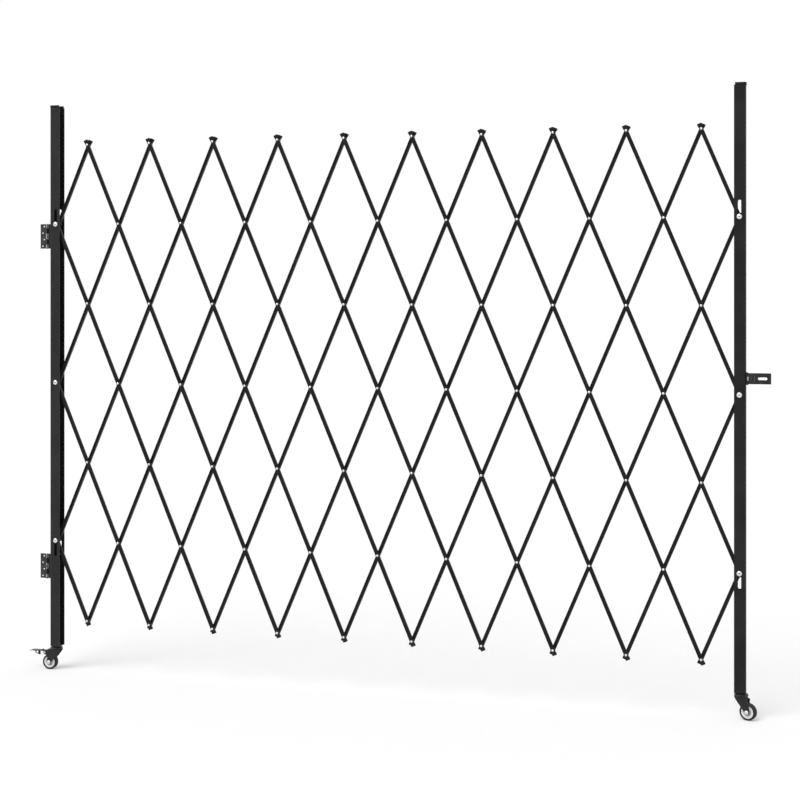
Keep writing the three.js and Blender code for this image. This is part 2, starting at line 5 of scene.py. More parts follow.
import bmesh
import bpy
import numpy as np
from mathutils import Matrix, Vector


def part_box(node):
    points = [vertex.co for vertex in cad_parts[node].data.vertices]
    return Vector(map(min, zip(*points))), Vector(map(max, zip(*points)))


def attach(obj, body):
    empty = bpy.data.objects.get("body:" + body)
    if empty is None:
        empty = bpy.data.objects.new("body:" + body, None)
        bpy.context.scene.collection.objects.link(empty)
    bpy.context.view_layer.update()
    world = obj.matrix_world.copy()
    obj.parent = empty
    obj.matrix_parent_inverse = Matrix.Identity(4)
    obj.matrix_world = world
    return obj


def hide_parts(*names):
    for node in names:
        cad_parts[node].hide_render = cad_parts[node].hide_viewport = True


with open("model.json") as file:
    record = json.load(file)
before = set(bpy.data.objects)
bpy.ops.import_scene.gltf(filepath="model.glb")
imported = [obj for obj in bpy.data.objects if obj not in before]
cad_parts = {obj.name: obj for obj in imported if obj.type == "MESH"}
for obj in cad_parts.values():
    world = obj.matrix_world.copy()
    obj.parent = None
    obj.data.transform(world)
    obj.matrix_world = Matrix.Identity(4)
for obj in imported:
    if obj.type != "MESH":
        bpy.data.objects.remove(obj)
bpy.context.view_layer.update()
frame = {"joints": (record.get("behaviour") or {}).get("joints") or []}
print("stage: frame loaded")

# Places of the linkage, read from the joints of the frame (metres)
jointPlace = {joint["name"]: np.array(joint["pos_m"]) for joint in frame["joints"]}
lattice = {"columns": 20, "lowestLevel": 6, "middleLevel": 3}
leftPin, rightPin = jointPlace["fold"], jointPlace["pivot_right_post"]
columnWidth = (rightPin[0] - leftPin[0]) / lattice["columns"]
levelDrop = (leftPin[2] - jointPlace["pivot_rear_bar_05"][2]) / lattice["middleLevel"]
pitch = math.hypot(columnWidth, levelDrop)
lean = math.atan2(columnWidth, levelDrop)
midY = leftPin[1]
footZ = jointPlace["left_caster_swivel"][2]
world = np.eye(3)
xAxis, yAxis, zAxis = world

# Bevels of sheet edges (metres)
softEdge, fineEdge = 0.0003, 0.0002


def pivotPlace(column, level):
    # Crossing of the lattice: columns count from the left post, levels from the top
    return leftPin + xAxis * column * columnWidth + zAxis * (lattice["middleLevel"] - level) * levelDrop


def placed(origin, axes, *amounts):
    # Points at the origin plus each amount times its axis
    points = origin
    for amount, axis in zip(amounts, axes):
        points = points + amount[..., None] * axis
    return points


# Surfaces: each is a pair of a point array and a list of face arrays
def gridFaces(rows, cols, wrapRows=False, wrapCols=False):
    # Quads of a rows by cols grid, numbered along each row
    index = np.arange(rows * cols).reshape(rows, cols)
    if wrapRows:
        index = np.vstack([index, index[:1]])
    if wrapCols:
        index = np.hstack([index, index[:, :1]])
    return np.stack([index[:-1, :-1], index[:-1, 1:], index[1:, 1:], index[1:, :-1]], -1).reshape(-1, 4)


def stripCap(row, count):
    # Quads across a folded sheet's section, whose first half faces its second half
    half = count // 2
    near = row * count + np.arange(half)
    far = row * count + count - 1 - np.arange(half)
    return np.stack([near[:-1], near[1:], far[1:], far[:-1]], -1)


def sweptSheet(points):
    # A folded sheet's section in each row of points, joined by quads and closed at both ends
    rows, cols = points.shape[:2]
    faces = [gridFaces(rows, cols, wrapCols=True), stripCap(0, cols), stripCap(rows - 1, cols)]
    return points.reshape(-1, 3), faces


def loftedBlock(loops, origins, first, second):
    # One closed loop at each origin, in the plane of two axes, joined by quads and closed to a middle point
    points = np.array([placed(origin, (first, second), *loop.T) for loop, origin in zip(loops, origins)])
    ends = [np.broadcast_to(points[i].mean(0), points[i].shape) for i in (0, -1)]
    points = np.concatenate([ends[0][None], points, ends[1][None]])
    return points.reshape(-1, 3), [gridFaces(*points.shape[:2], wrapCols=True)]


def steppedBlock(rows, start, along, first, second):
    # Rounded rectangles joined in order, one for each row (distance along, width, depth, corner)
    loops = [roundedLoop(*size) for _, *size in rows]
    return loftedBlock(loops, [start + along * distance for distance, *_ in rows], first, second)


def turnedForm(profile, centre, axis, side, segments=32):
    # Profile of (radius, along) turned about the axis: centre + radius (cos, sin) + along
    profile = np.array(profile, float)
    angle = np.linspace(0, 2 * math.pi, segments, endpoint=False)[:, None, None]
    outward = np.cos(angle) * side + np.sin(angle) * np.cross(axis, side)
    points = centre + profile[None, :, :1] * outward + profile[None, :, 1:] * axis
    return points.reshape(-1, 3), [gridFaces(*points.shape[:2], wrapRows=True)]


def mirrored(profile):
    # The profile's other side in reverse order, without points on the mirror
    return [(radius, -along) for radius, along in profile if along][::-1]


def raised(profile, base):
    # The profile with its lengths along the axis counted from a base
    return [(radius, base + along) for radius, along in profile]


def closedRing(profile):
    # The profile's mirror image, the profile, and back to the start
    ring = mirrored(profile) + profile
    return ring + ring[:1]


def sheetPlace(line, origin):
    # Lengths along a bent line, and the function that lays flat (u, z) points on the sheet along it
    lengths = np.concatenate([[0], np.cumsum(np.linalg.norm(np.diff(line, axis=0), axis=1))])

    def place(u, z):
        return placed(origin, world, *[np.interp(u, lengths, values) for values in line.T], z)

    return lengths, place


def mappedSheet(flatSurface, place):
    # Flat (u, v) points laid on a bent surface by place(u, v)
    points, faces = flatSurface
    return place(points[:, 0], points[:, 1]), faces


def flatGrid(us, vs):
    # Flat (u, v) points at every pair of stations
    u, v = np.meshgrid(us, vs, indexing="ij")
    return np.stack([u.ravel(), v.ravel()], -1), [gridFaces(len(us), len(vs))]


def ringPatch(outline, start, end, radius, rings=3):
    # Points between a slot (radius about the line start to end) and an outline, blended in even steps
    start, end = np.array(start, float), np.array(end, float)
    line = end - start
    length = max(line @ line, 1e-18)
    share = np.clip(((outline - start) @ line) / length, 0, 1)
    spine = start + share[:, None] * line
    outward = outline - spine
    outward /= np.linalg.norm(outward, axis=1)[:, None]
    rim = spine + radius * outward
    steps = np.linspace(0, 1, rings + 1)[:, None, None]
    points = rim + steps * (outline - rim)
    return points.reshape(-1, 2), [gridFaces(rings + 1, len(outline), wrapCols=True)]


def cellOutline(us, vs):
    # Points round a rectangle that pass through every given u and v station
    low, high = [np.stack([us, np.full(len(us), v)], -1) for v in (vs[0], vs[-1])]
    left, right = [np.stack([np.full(len(vs), u), vs], -1) for u in (us[0], us[-1])]
    return np.concatenate([low[:-1], right[:-1], high[:0:-1], left[:0:-1]])


def mergedStations(*parts):
    # Stations in rising order, those that agree to a tenth of a micrometre taken once
    return np.unique(np.round(np.concatenate(parts), 7))


def filledMiddle(line, count):
    # A line with two bends whose straight middle gets even steps
    middle = len(line) // 2
    steps = np.linspace(line[middle - 1], line[middle], count)[1:-1]
    return np.concatenate([line[:middle], steps, line[middle:]])


def circlePoints(angle):
    # Cosine and sine of each angle
    return np.stack([np.cos(angle), np.sin(angle)], -1)


def roundedLoop(width, depth, corner, steps=5):
    # Rectangle with quarter circles at its corners
    turn = np.linspace(0, math.pi / 2, steps)
    quarters = []
    for index, signs in enumerate([(1, 1), (-1, 1), (-1, -1), (1, -1)]):
        middle = np.array(signs) * [width / 2 - corner, depth / 2 - corner]
        quarters.append(middle + corner * circlePoints(turn + index * math.pi / 2))
    return np.concatenate(quarters)


def roundedOutline(corners, radius, steps=5):
    # Closed outline whose corners are cut by quadratic curves that start a radius from each corner
    share = np.linspace(0, 1, steps)[:, None]
    parts = []
    for before, here, after in zip(np.roll(corners, 1, 0), corners, np.roll(corners, -1, 0)):
        first, last = before - here, after - here
        start = here + first * min(radius / np.linalg.norm(first), 0.45)
        end = here + last * min(radius / np.linalg.norm(last), 0.45)
        parts.append((1 - share) ** 2 * start + 2 * share * (1 - share) * here + share**2 * end)
    return np.concatenate(parts)


def splitLong(outline, longest):
    # Adds points along the long sides of a closed outline
    parts = []
    for here, after in zip(outline, np.roll(outline, -1, 0)):
        count = max(1, math.ceil(np.linalg.norm(after - here) / longest))
        parts.append(here + (after - here) * np.arange(count)[:, None] / count)
    return np.concatenate(parts)


def bentLine(corners, bend, steps=6):
    # Polyline whose inner corners are replaced by arcs of the bend radius, tangent to both sides
    corners = np.array(corners, float)
    line = [corners[:1]]
    for before, here, after in zip(corners[:-2], corners[1:-1], corners[2:]):
        inward, onward = here - before, after - here
        inward /= np.linalg.norm(inward)
        onward /= np.linalg.norm(onward)
        turn = math.acos(np.clip(inward @ onward, -1, 1))
        sign = np.sign(inward[0] * onward[1] - inward[1] * onward[0])
        normal = sign * np.array([-inward[1], inward[0]])
        middle = here - inward * bend * math.tan(turn / 2) + normal * bend
        angle = np.linspace(0, turn, steps)[:, None]
        line.append(middle - normal * bend * np.cos(angle) + inward * bend * np.sin(angle))
    line.append(corners[-1:])
    return np.concatenate(line)


# Steps of a knuckle's roll
rollSteps = 22


def curledLine(flat, radius, startAngle, sweep):
    # Flat line that ends tangent to a circle about the origin, then rolls round it
    angle = startAngle + np.linspace(0, sweep, rollSteps)[1:]
    return np.concatenate([flat, radius * circlePoints(angle)])


def sheetSection(line, thickness):
    # Closed outline at half the thickness on both sides of a line
    steps = np.diff(line, axis=0)
    steps /= np.linalg.norm(steps, axis=1)[:, None]
    along = np.concatenate([steps[:1], steps[:-1] + steps[1:], steps[-1:]])
    along /= np.linalg.norm(along, axis=1)[:, None]
    stretch = np.ones(len(line))
    stretch[1:-1] = 1 / np.sum(along[1:-1] * steps[:-1], axis=1)
    shift = np.stack([-along[:, 1], along[:, 0]], -1) * stretch[:, None] * thickness / 2
    return np.concatenate([line + shift, (line - shift)[::-1]])


def smoothRise(value):
    # Eases from 0 to 1: three squares less two cubes of the value, held within 0 and 1
    share = np.clip(value, 0, 1)
    return share**2 * (3 - 2 * share)


def domedHead(form, base, steps=7):
    # Rivet head as (radius, along): flat underside, thin collar, then a quarter of an ellipse
    radius, collar = form["headRadius"], base + form["collar"]
    width, height = radius * form["domeShare"], form["headHeight"] - form["collar"]
    angles = np.linspace(0, math.pi / 2, steps)
    dome = [(width * math.cos(angle), collar + height * math.sin(angle)) for angle in angles]
    return [(form["shank"], base), (radius, base), (radius, collar), *dome]


def headedPin(centre, axis, side, form, reach):
    # Straight pin with a soft-edged head at each end, whose crown is given in shares of radius and height
    radius, height = form["headRadius"], form["headHeight"]
    rim = [(form["shank"], reach), (radius - fineEdge, reach), (radius, reach + fineEdge)]
    crown = [(1.0, 0.45), (0.9, 0.78), (0.55, 0.96), (0.0, 1.0)]
    upper = rim + [(radius * across, reach + height * up) for across, up in crown]
    return turnedForm(mirrored(upper) + upper, centre, axis, side, 28)


def hexNut(centre, axis, side, across, low, high, chamfer=0.0006, drawn=0.93):
    # Hexagon measured across its flats, four points to a side, drawn in by a share at both ends
    angle = np.arange(24) * math.pi / 12
    reach = across / 2 / np.cos((angle + math.pi / 6) % (math.pi / 3) - math.pi / 6)
    hexagon = reach[:, None] * circlePoints(angle)
    shares = [(low, drawn), (low + chamfer, 1.0), (high - chamfer, 1.0), (high, drawn)]
    origins = [centre + axis * z for z, _ in shares]
    return loftedBlock([hexagon * share for _, share in shares], origins, side, np.cross(axis, side))


def fillMesh(mesh, points, faceArrays):
    # Writes all points and the corners of all faces at once
    loops = np.concatenate([faces.ravel() for faces in faceArrays]).astype(np.int32)
    sizes = np.concatenate([np.full(len(faces), faces.shape[1]) for faces in faceArrays])
    starts = np.concatenate([[0], np.cumsum(sizes)[:-1]]).astype(np.int32)
    mesh.vertices.add(len(points))
    mesh.vertices.foreach_set("co", np.ascontiguousarray(points, np.float32).ravel())
    mesh.loops.add(len(loops))
    mesh.loops.foreach_set("vertex_index", loops)
    mesh.polygons.add(len(starts))
    mesh.polygons.foreach_set("loop_start", starts)
    mesh.update(calc_edges=True)
    mesh.validate()


def makePiece(name, surfaces, finish, body, stands=(), thickness=0.0, bevel=0.0, sharp=38):
    # Joins the surfaces, welds their seams and turns the faces outwards; a finish is a material and its slot
    # name, and the slot name is not used
    points, faceArrays, base = [], [], 0
    for surfacePoints, surfaceFaces in surfaces:
        points.append(surfacePoints)
        faceArrays += [faces + base for faces in surfaceFaces]
        base += len(surfacePoints)
    mesh = bpy.data.meshes.new(name)
    fillMesh(mesh, np.concatenate(points), faceArrays)
    work = bmesh.new()
    work.from_mesh(mesh)
    bmesh.ops.remove_doubles(work, verts=work.verts, dist=1e-6)
    bmesh.ops.dissolve_degenerate(work, edges=work.edges, dist=1e-7)
    bmesh.ops.recalc_face_normals(work, faces=work.faces)
    work.to_mesh(mesh)
    work.free()
    mesh.polygons.foreach_set("use_smooth", np.ones(len(mesh.polygons), bool))
    mesh.set_sharp_from_angle(angle=math.radians(sharp))
    material, slotName = finish
    mesh.materials.append(material)
    piece = bpy.data.objects.new(name, mesh)
    bpy.context.scene.collection.objects.link(piece)
    if thickness:
        solid = piece.modifiers.new("sheet", "SOLIDIFY")
        solid.thickness = thickness
        solid.offset = 0
        solid.use_quality_normals = True
    if bevel:
        edge = piece.modifiers.new("edges", "BEVEL")
        edge.width = bevel
        edge.segments = 2
        edge.limit_method = "ANGLE"
        edge.angle_limit = math.radians(sharp)
        edge.harden_normals = True
    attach(piece, body)
    if stands:
        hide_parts(*stands)


# Shader nodes: a value is a plain number, a colour as a tuple, or a socket to link from
def feed(tree, socket, value):
    # Links or sets one input
    if isinstance(value, bpy.types.NodeSocket):
        tree.links.new(value, socket)
    elif isinstance(value, tuple):
        socket.default_value = (*value, 1)
    else:
        socket.default_value = value


def addNode(tree, kind, settings=None, **values):
    # Node with its settings, and its inputs by name with _ for a blank
    node = tree.nodes.new(kind)
    for key, value in (settings or {}).items():
        setattr(node, key, value)
    for key, value in values.items():
        feed(tree, node.inputs[key.replace("_", " ")], value)
    return node


def objectPlace(tree):
    return tree.nodes.new("ShaderNodeTexCoord").outputs["Object"]


def noiseAt(tree, place, scale, detail, roughness):
    values = {"Vector": place, "Scale": scale, "Detail": detail, "Roughness": roughness}
    return addNode(tree, "ShaderNodeTexNoise", **values).outputs["Fac"]


def mapped(tree, value, low, high, newLow=0.0, newHigh=1.0):
    # The value's span from low to high stretched to the new span and held within it
    span = {"From_Min": low, "From_Max": high, "To_Min": newLow, "To_Max": newHigh}
    return addNode(tree, "ShaderNodeMapRange", Value=value, **span).outputs["Result"]


def calculated(tree, operation, *values, clamp=False):
    # Result of one operation on the values
    node = addNode(tree, "ShaderNodeMath", {"operation": operation, "use_clamp": clamp})
    for socket, value in zip(node.inputs, values):
        feed(tree, socket, value)
    return node.outputs[0]


def product(tree, first, *others):
    # Values multiplied in turn, held between 0 and 1
    for value in others:
        first = calculated(tree, "MULTIPLY", first, value, clamp=True)
    return first


def blended(tree, kind, mask, first, second):
    # Mix of two numbers or colours: the first where the mask is 0, the second where it is 1
    firstAt, secondAt, resultAt = {"FLOAT": (2, 3, 0), "RGBA": (6, 7, 2)}[kind]
    node = addNode(tree, "ShaderNodeMix", {"data_type": kind})
    for index, value in ((0, mask), (firstAt, first), (secondAt, second)):
        feed(tree, node.inputs[index], value)
    return node.outputs[resultAt]


# Shared shader effects
def newGroup(name, inputs, outputs):
    # Node group with its inputs' defaults, the sockets of what is given and those of what is made
    group = bpy.data.node_groups.new(name, "ShaderNodeTree")
    for label, value in inputs.items():
        socket = group.interface.new_socket(name=label, in_out="INPUT", socket_type="NodeSocketFloat")
        socket.default_value = value
    for label, kind in outputs.items():
        group.interface.new_socket(name=label, in_out="OUTPUT", socket_type=kind)
    return group, group.nodes.new("NodeGroupInput").outputs, group.nodes.new("NodeGroupOutput").inputs


def makeGrainGroup():
    # Powder or moulding grain: fine and broad noise blended into one height, which bumps the normal
    inputs = {"Scale": 900.0, "Depth": 0.2, "Broad": 0.3}
    outputs = {"Normal": "NodeSocketVector", "Height": "NodeSocketFloat"}
    group, given, made = newGroup("surfaceGrain", inputs, outputs)
    place = objectPlace(group)
    fine = noiseAt(group, place, given["Scale"], 3.0, 0.55)
    broad = noiseAt(group, place, 60.0, 2.0, 0.5)
    height = blended(group, "FLOAT", given["Broad"], fine, broad)
    bump = addNode(group, "ShaderNodeBump", Distance=0.0004, Strength=given["Depth"], Height=height)
    feed(group, made["Normal"], bump.outputs["Normal"])
    feed(group, made["Height"], height)
    return group


def makeWearGroup():
    # Rubbed edges: where the surface turns sharply, broken up by noise
    inputs = {"Amount": 0.5, "Breakup": 120.0}
    group, given, made = newGroup("edgeWear", inputs, {"Mask": "NodeSocketFloat"})
    shape = group.nodes.new("ShaderNodeNewGeometry")
    edge = mapped(group, shape.outputs["Pointiness"], 0.515, 0.62)
    patch = mapped(group, noiseAt(group, objectPlace(group), given["Breakup"], 5.0, 0.65), 0.48, 0.66)
    feed(group, made["Mask"], product(group, edge, patch, given["Amount"]))
    return group


def makeDustGroup():
    # Dust film: cloudy patches, stronger on faces that look up
    inputs = {"Amount": 0.3, "Scale": 22.0}
    group, given, made = newGroup("dustFilm", inputs, {"Mask": "NodeSocketFloat"})
    shape = group.nodes.new("ShaderNodeNewGeometry")
    split = addNode(group, "ShaderNodeSeparateXYZ", Vector=shape.outputs["Normal"])
    cloud = mapped(group, noiseAt(group, objectPlace(group), given["Scale"], 6.0, 0.6), 0.42, 0.72)
    upward = mapped(group, split.outputs["Z"], -0.2, 1.0, 0.35, 1.0)
    feed(group, made["Mask"], product(group, cloud, upward, given["Amount"]))
    return group


grainGroup = makeGrainGroup()
wearGroup = makeWearGroup()
dustGroup = makeDustGroup()


def placedGroup(tree, group, values):
    # Outputs of a group node whose inputs take the values in order
    node = addNode(tree, "ShaderNodeGroup", {"node_tree": group})
    for socket, value in zip(node.inputs, values):
        socket.default_value = value
    return node.outputs


def windowMask(tree, value, centre, half, soft):
    # One within half of the centre, falling to zero over the soft width outside it
    distance = calculated(tree, "ABSOLUTE", calculated(tree, "SUBTRACT", value, centre))
    return mapped(tree, distance, half + soft, half)


def paintedHighlightMask(tree, look):
    # Painted highlight bands, each a window along X, a window along Z and a strength, broken up by noise;
    # the most counts
    place = objectPlace(tree)
    split = addNode(tree, "ShaderNodeSeparateXYZ", Vector=place)
    patch = mapped(tree, noiseAt(tree, place, look["paintedHighlightBreakup"], 4.0, 0.6), 0.34, 0.54)
    most = 0.0
    for alongX, alongZ, strength in look["paintedHighlightBands"]:
        flat = windowMask(tree, split.outputs["X"], *alongX)
        upright = windowMask(tree, split.outputs["Z"], *alongZ)
        most = calculated(tree, "MAXIMUM", most, product(tree, flat, upright, patch, strength))
    return most


def addSheen(tree, shader, start, end, most, roughness=0.35):
    # Clear gloss that comes in as the surface turns away from the eye
    slant = tree.nodes.new("ShaderNodeLayerWeight").outputs["Facing"]
    feed(tree, shader["Coat Weight"], mapped(tree, slant, start, end, 0.0, most))
    shader["Coat Roughness"].default_value = roughness


def newMaterial(name):
    material = bpy.data.materials.new(name)
    material.use_nodes = True
    return material, material.node_tree, material.node_tree.nodes["Principled BSDF"].inputs


def layeredFinish(name, slotName, look):
    # Cloudy base colour under painted highlight bands, worn edges and dust; grain and dust also set the
    # roughness
    material, tree, shader = newMaterial(name)
    shader["Metallic"].default_value = look["metallic"]
    shader["Specular IOR Level"].default_value = look["specular"]
    cloud = mapped(tree, noiseAt(tree, objectPlace(tree), look["cloud"], 4.0, 0.6), 0.35, 0.65)
    grain = placedGroup(tree, grainGroup, look["grain"])
    wear = placedGroup(tree, wearGroup, look["wear"])["Mask"]
    dust = placedGroup(tree, dustGroup, look["dust"])["Mask"]
    colour = blended(tree, "RGBA", cloud, look["dark"], look["light"])
    if "paintedHighlightBands" in look:
        colour = blended(tree, "RGBA", paintedHighlightMask(tree, look), colour, look["paintedHighlightColour"])
    colour = blended(tree, "RGBA", wear, colour, look["worn"])
    colour = blended(tree, "RGBA", dust, colour, look["dusty"])
    feed(tree, shader["Base Color"], colour)
    spread = calculated(tree, "MAXIMUM", grain["Height"], dust)
    feed(tree, shader["Roughness"], mapped(tree, spread, 0.0, 1.0, *look["roughness"]))
    feed(tree, shader["Normal"], grain["Normal"])
    if "sheen" in look:
        addSheen(tree, shader, *look["sheen"])
    return material, slotName


def grey(level):
    # Neutral colour
    return (level, level, level)


# Looks: grain is (scale, depth, share of broad noise), wear and dust are (amount, scale),
# sheen is (start, end, most) and a window of a painted highlight band is (centre, half, soft) in metres
paintLook = {
    "dark": (0.009, 0.009, 0.0095), "light": (0.017, 0.017, 0.0178), "worn": (0.08, 0.078, 0.075),
    "dusty": (0.05, 0.048, 0.045), "metallic": 0.0, "specular": 0.14, "roughness": (0.42, 0.62),
    "cloud": 9.0, "grain": (1500.0, 0.35, 0.25), "wear": (0.5, 160.0), "dust": (0.08, 18.0),
}
blackPaint = layeredFinish("satinBlackPowderCoat", "black_paint", {**paintLook, "sheen": (0.0, 0.3, 0.65)})
barLook = {
    **paintLook, "dark": (0.0075, 0.0075, 0.008), "light": (0.014, 0.014, 0.0147),
    "worn": (0.05, 0.049, 0.047), "dusty": (0.03, 0.029, 0.027), "specular": 0.12, "roughness": (0.5, 0.7),
    "cloud": 14.0, "wear": (0.35, 160.0), "dust": (0.06, 22.0), "sheen": (0.2, 0.55, 0.45),
}
barPaint = layeredFinish("mattBlackBarPaint", "black_paint", barLook)
# Lighter copy of the bar paint for the rear bars: painted light that lifts the shade inside their open
# channels
rearBarPaintWithPaintedLight = layeredFinish("mattBlackRearBarPaint", "black_paint", {
    **barLook, "dark": (0.024, 0.024, 0.0245), "light": (0.039, 0.039, 0.0397), "worn": (0.07, 0.069, 0.067),
})
# Hinge leaf paint with a painted highlight: a pale band down the wall leaf's knuckles, beside the hinge's
# axis
hingeX = jointPlace["gate_swing"][0]
hingePaintWithPaintedHighlight = layeredFinish("hingeLeafPaintWithPaintedHighlight", "black_paint", {
    "dark": grey(0.02), "light": grey(0.06), "worn": grey(0.3), "dusty": (0.07, 0.067, 0.062),
    "metallic": 0.2, "specular": 0.3, "roughness": (0.36, 0.58), "cloud": 80.0,
    "grain": (900.0, 0.3, 0.4), "wear": (0.9, 300.0), "dust": (0.1, 40.0), "paintedHighlightColour": (0.42, 0.42, 0.43),
    "paintedHighlightBreakup": 210.0, "paintedHighlightBands": [((hingeX - 0.0004, 0.0017, 0.0016), (0, 2, 1), 1)],
})
# Strap paint with painted glints: a bright band on the middle knuckle, a fainter one at the step and a faint
# one between them
haspX, _, haspZ = jointPlace["hasp_strap_swing"]
haspPaintWithPaintedGlints = layeredFinish("haspStrapPaintWithPaintedGlints", "black_paint", {
    **paintLook, "light": (0.019, 0.019, 0.02), "worn": (0.12, 0.118, 0.115), "specular": 0.28,
    "roughness": (0.4, 0.6), "cloud": 60.0, "wear": (0.8, 260.0), "dust": (0.08, 30.0),
    "paintedHighlightColour": (0.62, 0.62, 0.63), "paintedHighlightBreakup": 330.0,
    "paintedHighlightBands": [
        ((haspX + 0.0016, 0.0008, 0.0014), (haspZ, 0.007, 0.003), 1),
        ((haspX + 0.0208, 0.0004, 0.0014), (haspZ, 0.004, 0.009), 0.3),
        ((haspX + 0.0112, 0.0005, 0.002), (haspZ, 0.002, 0.009), 0.07),
    ],
})
zincPlate = layeredFinish("brightZincPlate", "zinc", {
    "dark": (0.62, 0.63, 0.65), "light": (0.8, 0.81, 0.83), "worn": grey(0.9), "dusty": (0.46, 0.45, 0.43),
    "metallic": 1.0, "specular": 0.5, "roughness": (0.22, 0.42), "cloud": 160.0,
    "grain": (1200.0, 0.12, 0.5), "wear": (0.3, 400.0), "dust": (0.15, 90.0),
})
# Near-black finish for the pins' eyes: painted shade in the drilled holes
paintedShadeBore = layeredFinish("drilledEyePaintedShade", "zinc", {
    "dark": grey(0.012), "light": grey(0.03), "worn": grey(0.2), "dusty": (0.04, 0.038, 0.035),
    "metallic": 0.3, "specular": 0.2, "roughness": (0.5, 0.7), "cloud": 300.0,
    "grain": (1600.0, 0.3, 0.4), "wear": (0.3, 500.0), "dust": (0.2, 200.0),
})
blackMoulding = layeredFinish("mattBlackMoulding", "black_plastic", {
    "dark": grey(0.007), "light": (0.012, 0.012, 0.0124), "worn": grey(0.04), "dusty": (0.04, 0.039, 0.037),
    "metallic": 0.0, "specular": 0.2, "roughness": (0.5, 0.7), "cloud": 40.0,
    "grain": (2200.0, 0.5, 0.1), "wear": (0.4, 250.0), "dust": (0.12, 60.0),
})
paleMoulding = layeredFinish("offWhiteMoulding", "pale_plastic", {
    "dark": (0.8, 0.79, 0.76), "light": (0.88, 0.875, 0.86), "worn": (0.9, 0.895, 0.88),
    "dusty": (0.62, 0.6, 0.56), "metallic": 0.0, "specular": 0.5, "roughness": (0.3, 0.5), "cloud": 50.0,
    "grain": (1500.0, 0.15, 0.5), "wear": (0.2, 250.0), "dust": (0.12, 70.0),
})
greyBearing = layeredFinish("greyBearingSteel", "zinc", {
    "dark": (0.3, 0.3, 0.31), "light": (0.42, 0.42, 0.43), "worn": grey(0.58), "dusty": (0.28, 0.27, 0.25),
    "metallic": 0.7, "specular": 0.5, "roughness": (0.34, 0.54), "cloud": 120.0,
    "grain": (1200.0, 0.2, 0.4), "wear": (0.4, 300.0), "dust": (0.15, 80.0),
})
blackRubber = layeredFinish("blackTyreRubber", "black_rubber", {
    "dark": grey(0.009), "light": grey(0.017), "worn": grey(0.04), "dusty": (0.07, 0.066, 0.062),
    "metallic": 0.0, "specular": 0.3, "roughness": (0.55, 0.8), "cloud": 60.0,
    "grain": (1400.0, 0.5, 0.3), "wear": (0.5, 200.0), "dust": (0.2, 60.0),
})
print("stage: materials ready")


# Lattice bars: pressed channels with moulded tips and zinc rivets
bar = {
    "width": 0.012, "depth": 0.008, "sheet": 0.0015, "bend": 0.0014, "layerPitch": 0.0125, "tail": 0.0125,
    "dimpleDepth": 0.0005, "dimpleRadius": 0.0075,
}
tip = {
    "width": 0.0142, "depth": 0.0098, "corner": 0.0022, "over": 0.0055, "endWall": 0.0039,
    # Share of the way along the tip, and the section's scale there
    "shape": [(0.0, 0.86), (0.04, 0.93), (0.4, 0.965), (0.8, 1.0), (0.94, 0.97), (0.985, 0.9), (1.0, 0.8)],
}
rivet = {
    "shank": 0.0028, "headRadius": 0.0037, "headHeight": 0.0021, "collar": 0.0005, "domeShare": 0.94,
    "seat": 0.0003,
}
faceY = (bar["layerPitch"] + bar["depth"]) / 2


def fallingBar(offset):
    # Front bar from its top end: the crossings whose column less level is the offset
    first, last = max(0, offset), min(lattice["columns"], offset + lattice["lowestLevel"])
    return {"columns": range(first, last + 1), "level": first - offset, "turn": 1}


def risingBar(total):
    # Rear bar from its top end: the crossings whose column and level add up to the total
    first, last = max(0, total - lattice["lowestLevel"]), min(lattice["columns"], total)
    return {"columns": range(last, first - 1, -1), "level": total - last, "turn": -1}


def barAxes(run):
    # Top crossing, then the way down the bar and the way across it in the plane of the lattice
    down = np.array([run["turn"] * math.sin(lean), 0, -math.cos(lean)])
    across = np.array([math.cos(lean), 0, run["turn"] * math.sin(lean)])
    return pivotPlace(run["columns"][0], run["level"]), down, across


def channelBar(run, side):
    # Channel section carried down the bar; the web dips towards the lattice's middle round each pivot
    top, down, across = barAxes(run)
    half = (bar["width"] - bar["sheet"]) / 2
    web, mouth = side * (faceY - bar["sheet"] / 2), side * (faceY - bar["depth"])
    inner = bentLine([(half, mouth), (half, web), (-half, web), (-half, mouth)], bar["bend"])
    section = sheetSection(filledMiddle(inner, 7), bar["sheet"])
    pivots = np.arange(len(run["columns"]))[:, None] * pitch
    ends = [-bar["tail"], pivots[-1, 0] + bar["tail"]]
    nearPivots = pivots + np.linspace(-1, 1, 9) * bar["dimpleRadius"]
    between = pivots[:-1] + np.array([0.25, 0.5, 0.75]) * pitch
    along = np.unique(np.concatenate([ends, nearPivots.ravel(), between.ravel()]))
    fromPivot = np.abs(along - np.round(along / pitch) * pitch) / bar["dimpleRadius"]
    onWeb = np.clip((side * section[:, 1] - faceY + 2 * bar["sheet"]) / bar["sheet"], 0, 1)
    onMiddle = np.clip(1 - np.abs(section[:, 0]) / half, 0, 1)
    inset = -side * bar["dimpleDepth"] * smoothRise(1 - fromPivot)[:, None] * onWeb * onMiddle
    sideways, outwards = section[:, 0], section[:, 1] + inset
    return sweptSheet(placed(top, (down, across, yAxis), along[:, None], sideways, outwards))


def barTip(pivot, outward, across, side):
    # Moulded tip: rounded block that flares a little and closes with a soft end
    start = pivot + outward * (bar["tail"] - tip["over"]) + yAxis * side * bar["layerPitch"] / 2
    reach = tip["over"] + tip["endWall"]
    size = np.array([tip["width"], tip["depth"], tip["corner"]])
    rows = [(share * reach, *(size * scale)) for share, scale in tip["shape"]]
    return steppedBlock(rows, start, outward, across, yAxis)


def latticeRivet(place):
    # Plain shank along Y with a domed head on the front bar's web and one on the rear bar's
    heads = mirrored(domedHead(rivet, faceY)) + domedHead(rivet, faceY + rivet["seat"])
    return turnedForm(heads, place, yAxis, xAxis, 24)


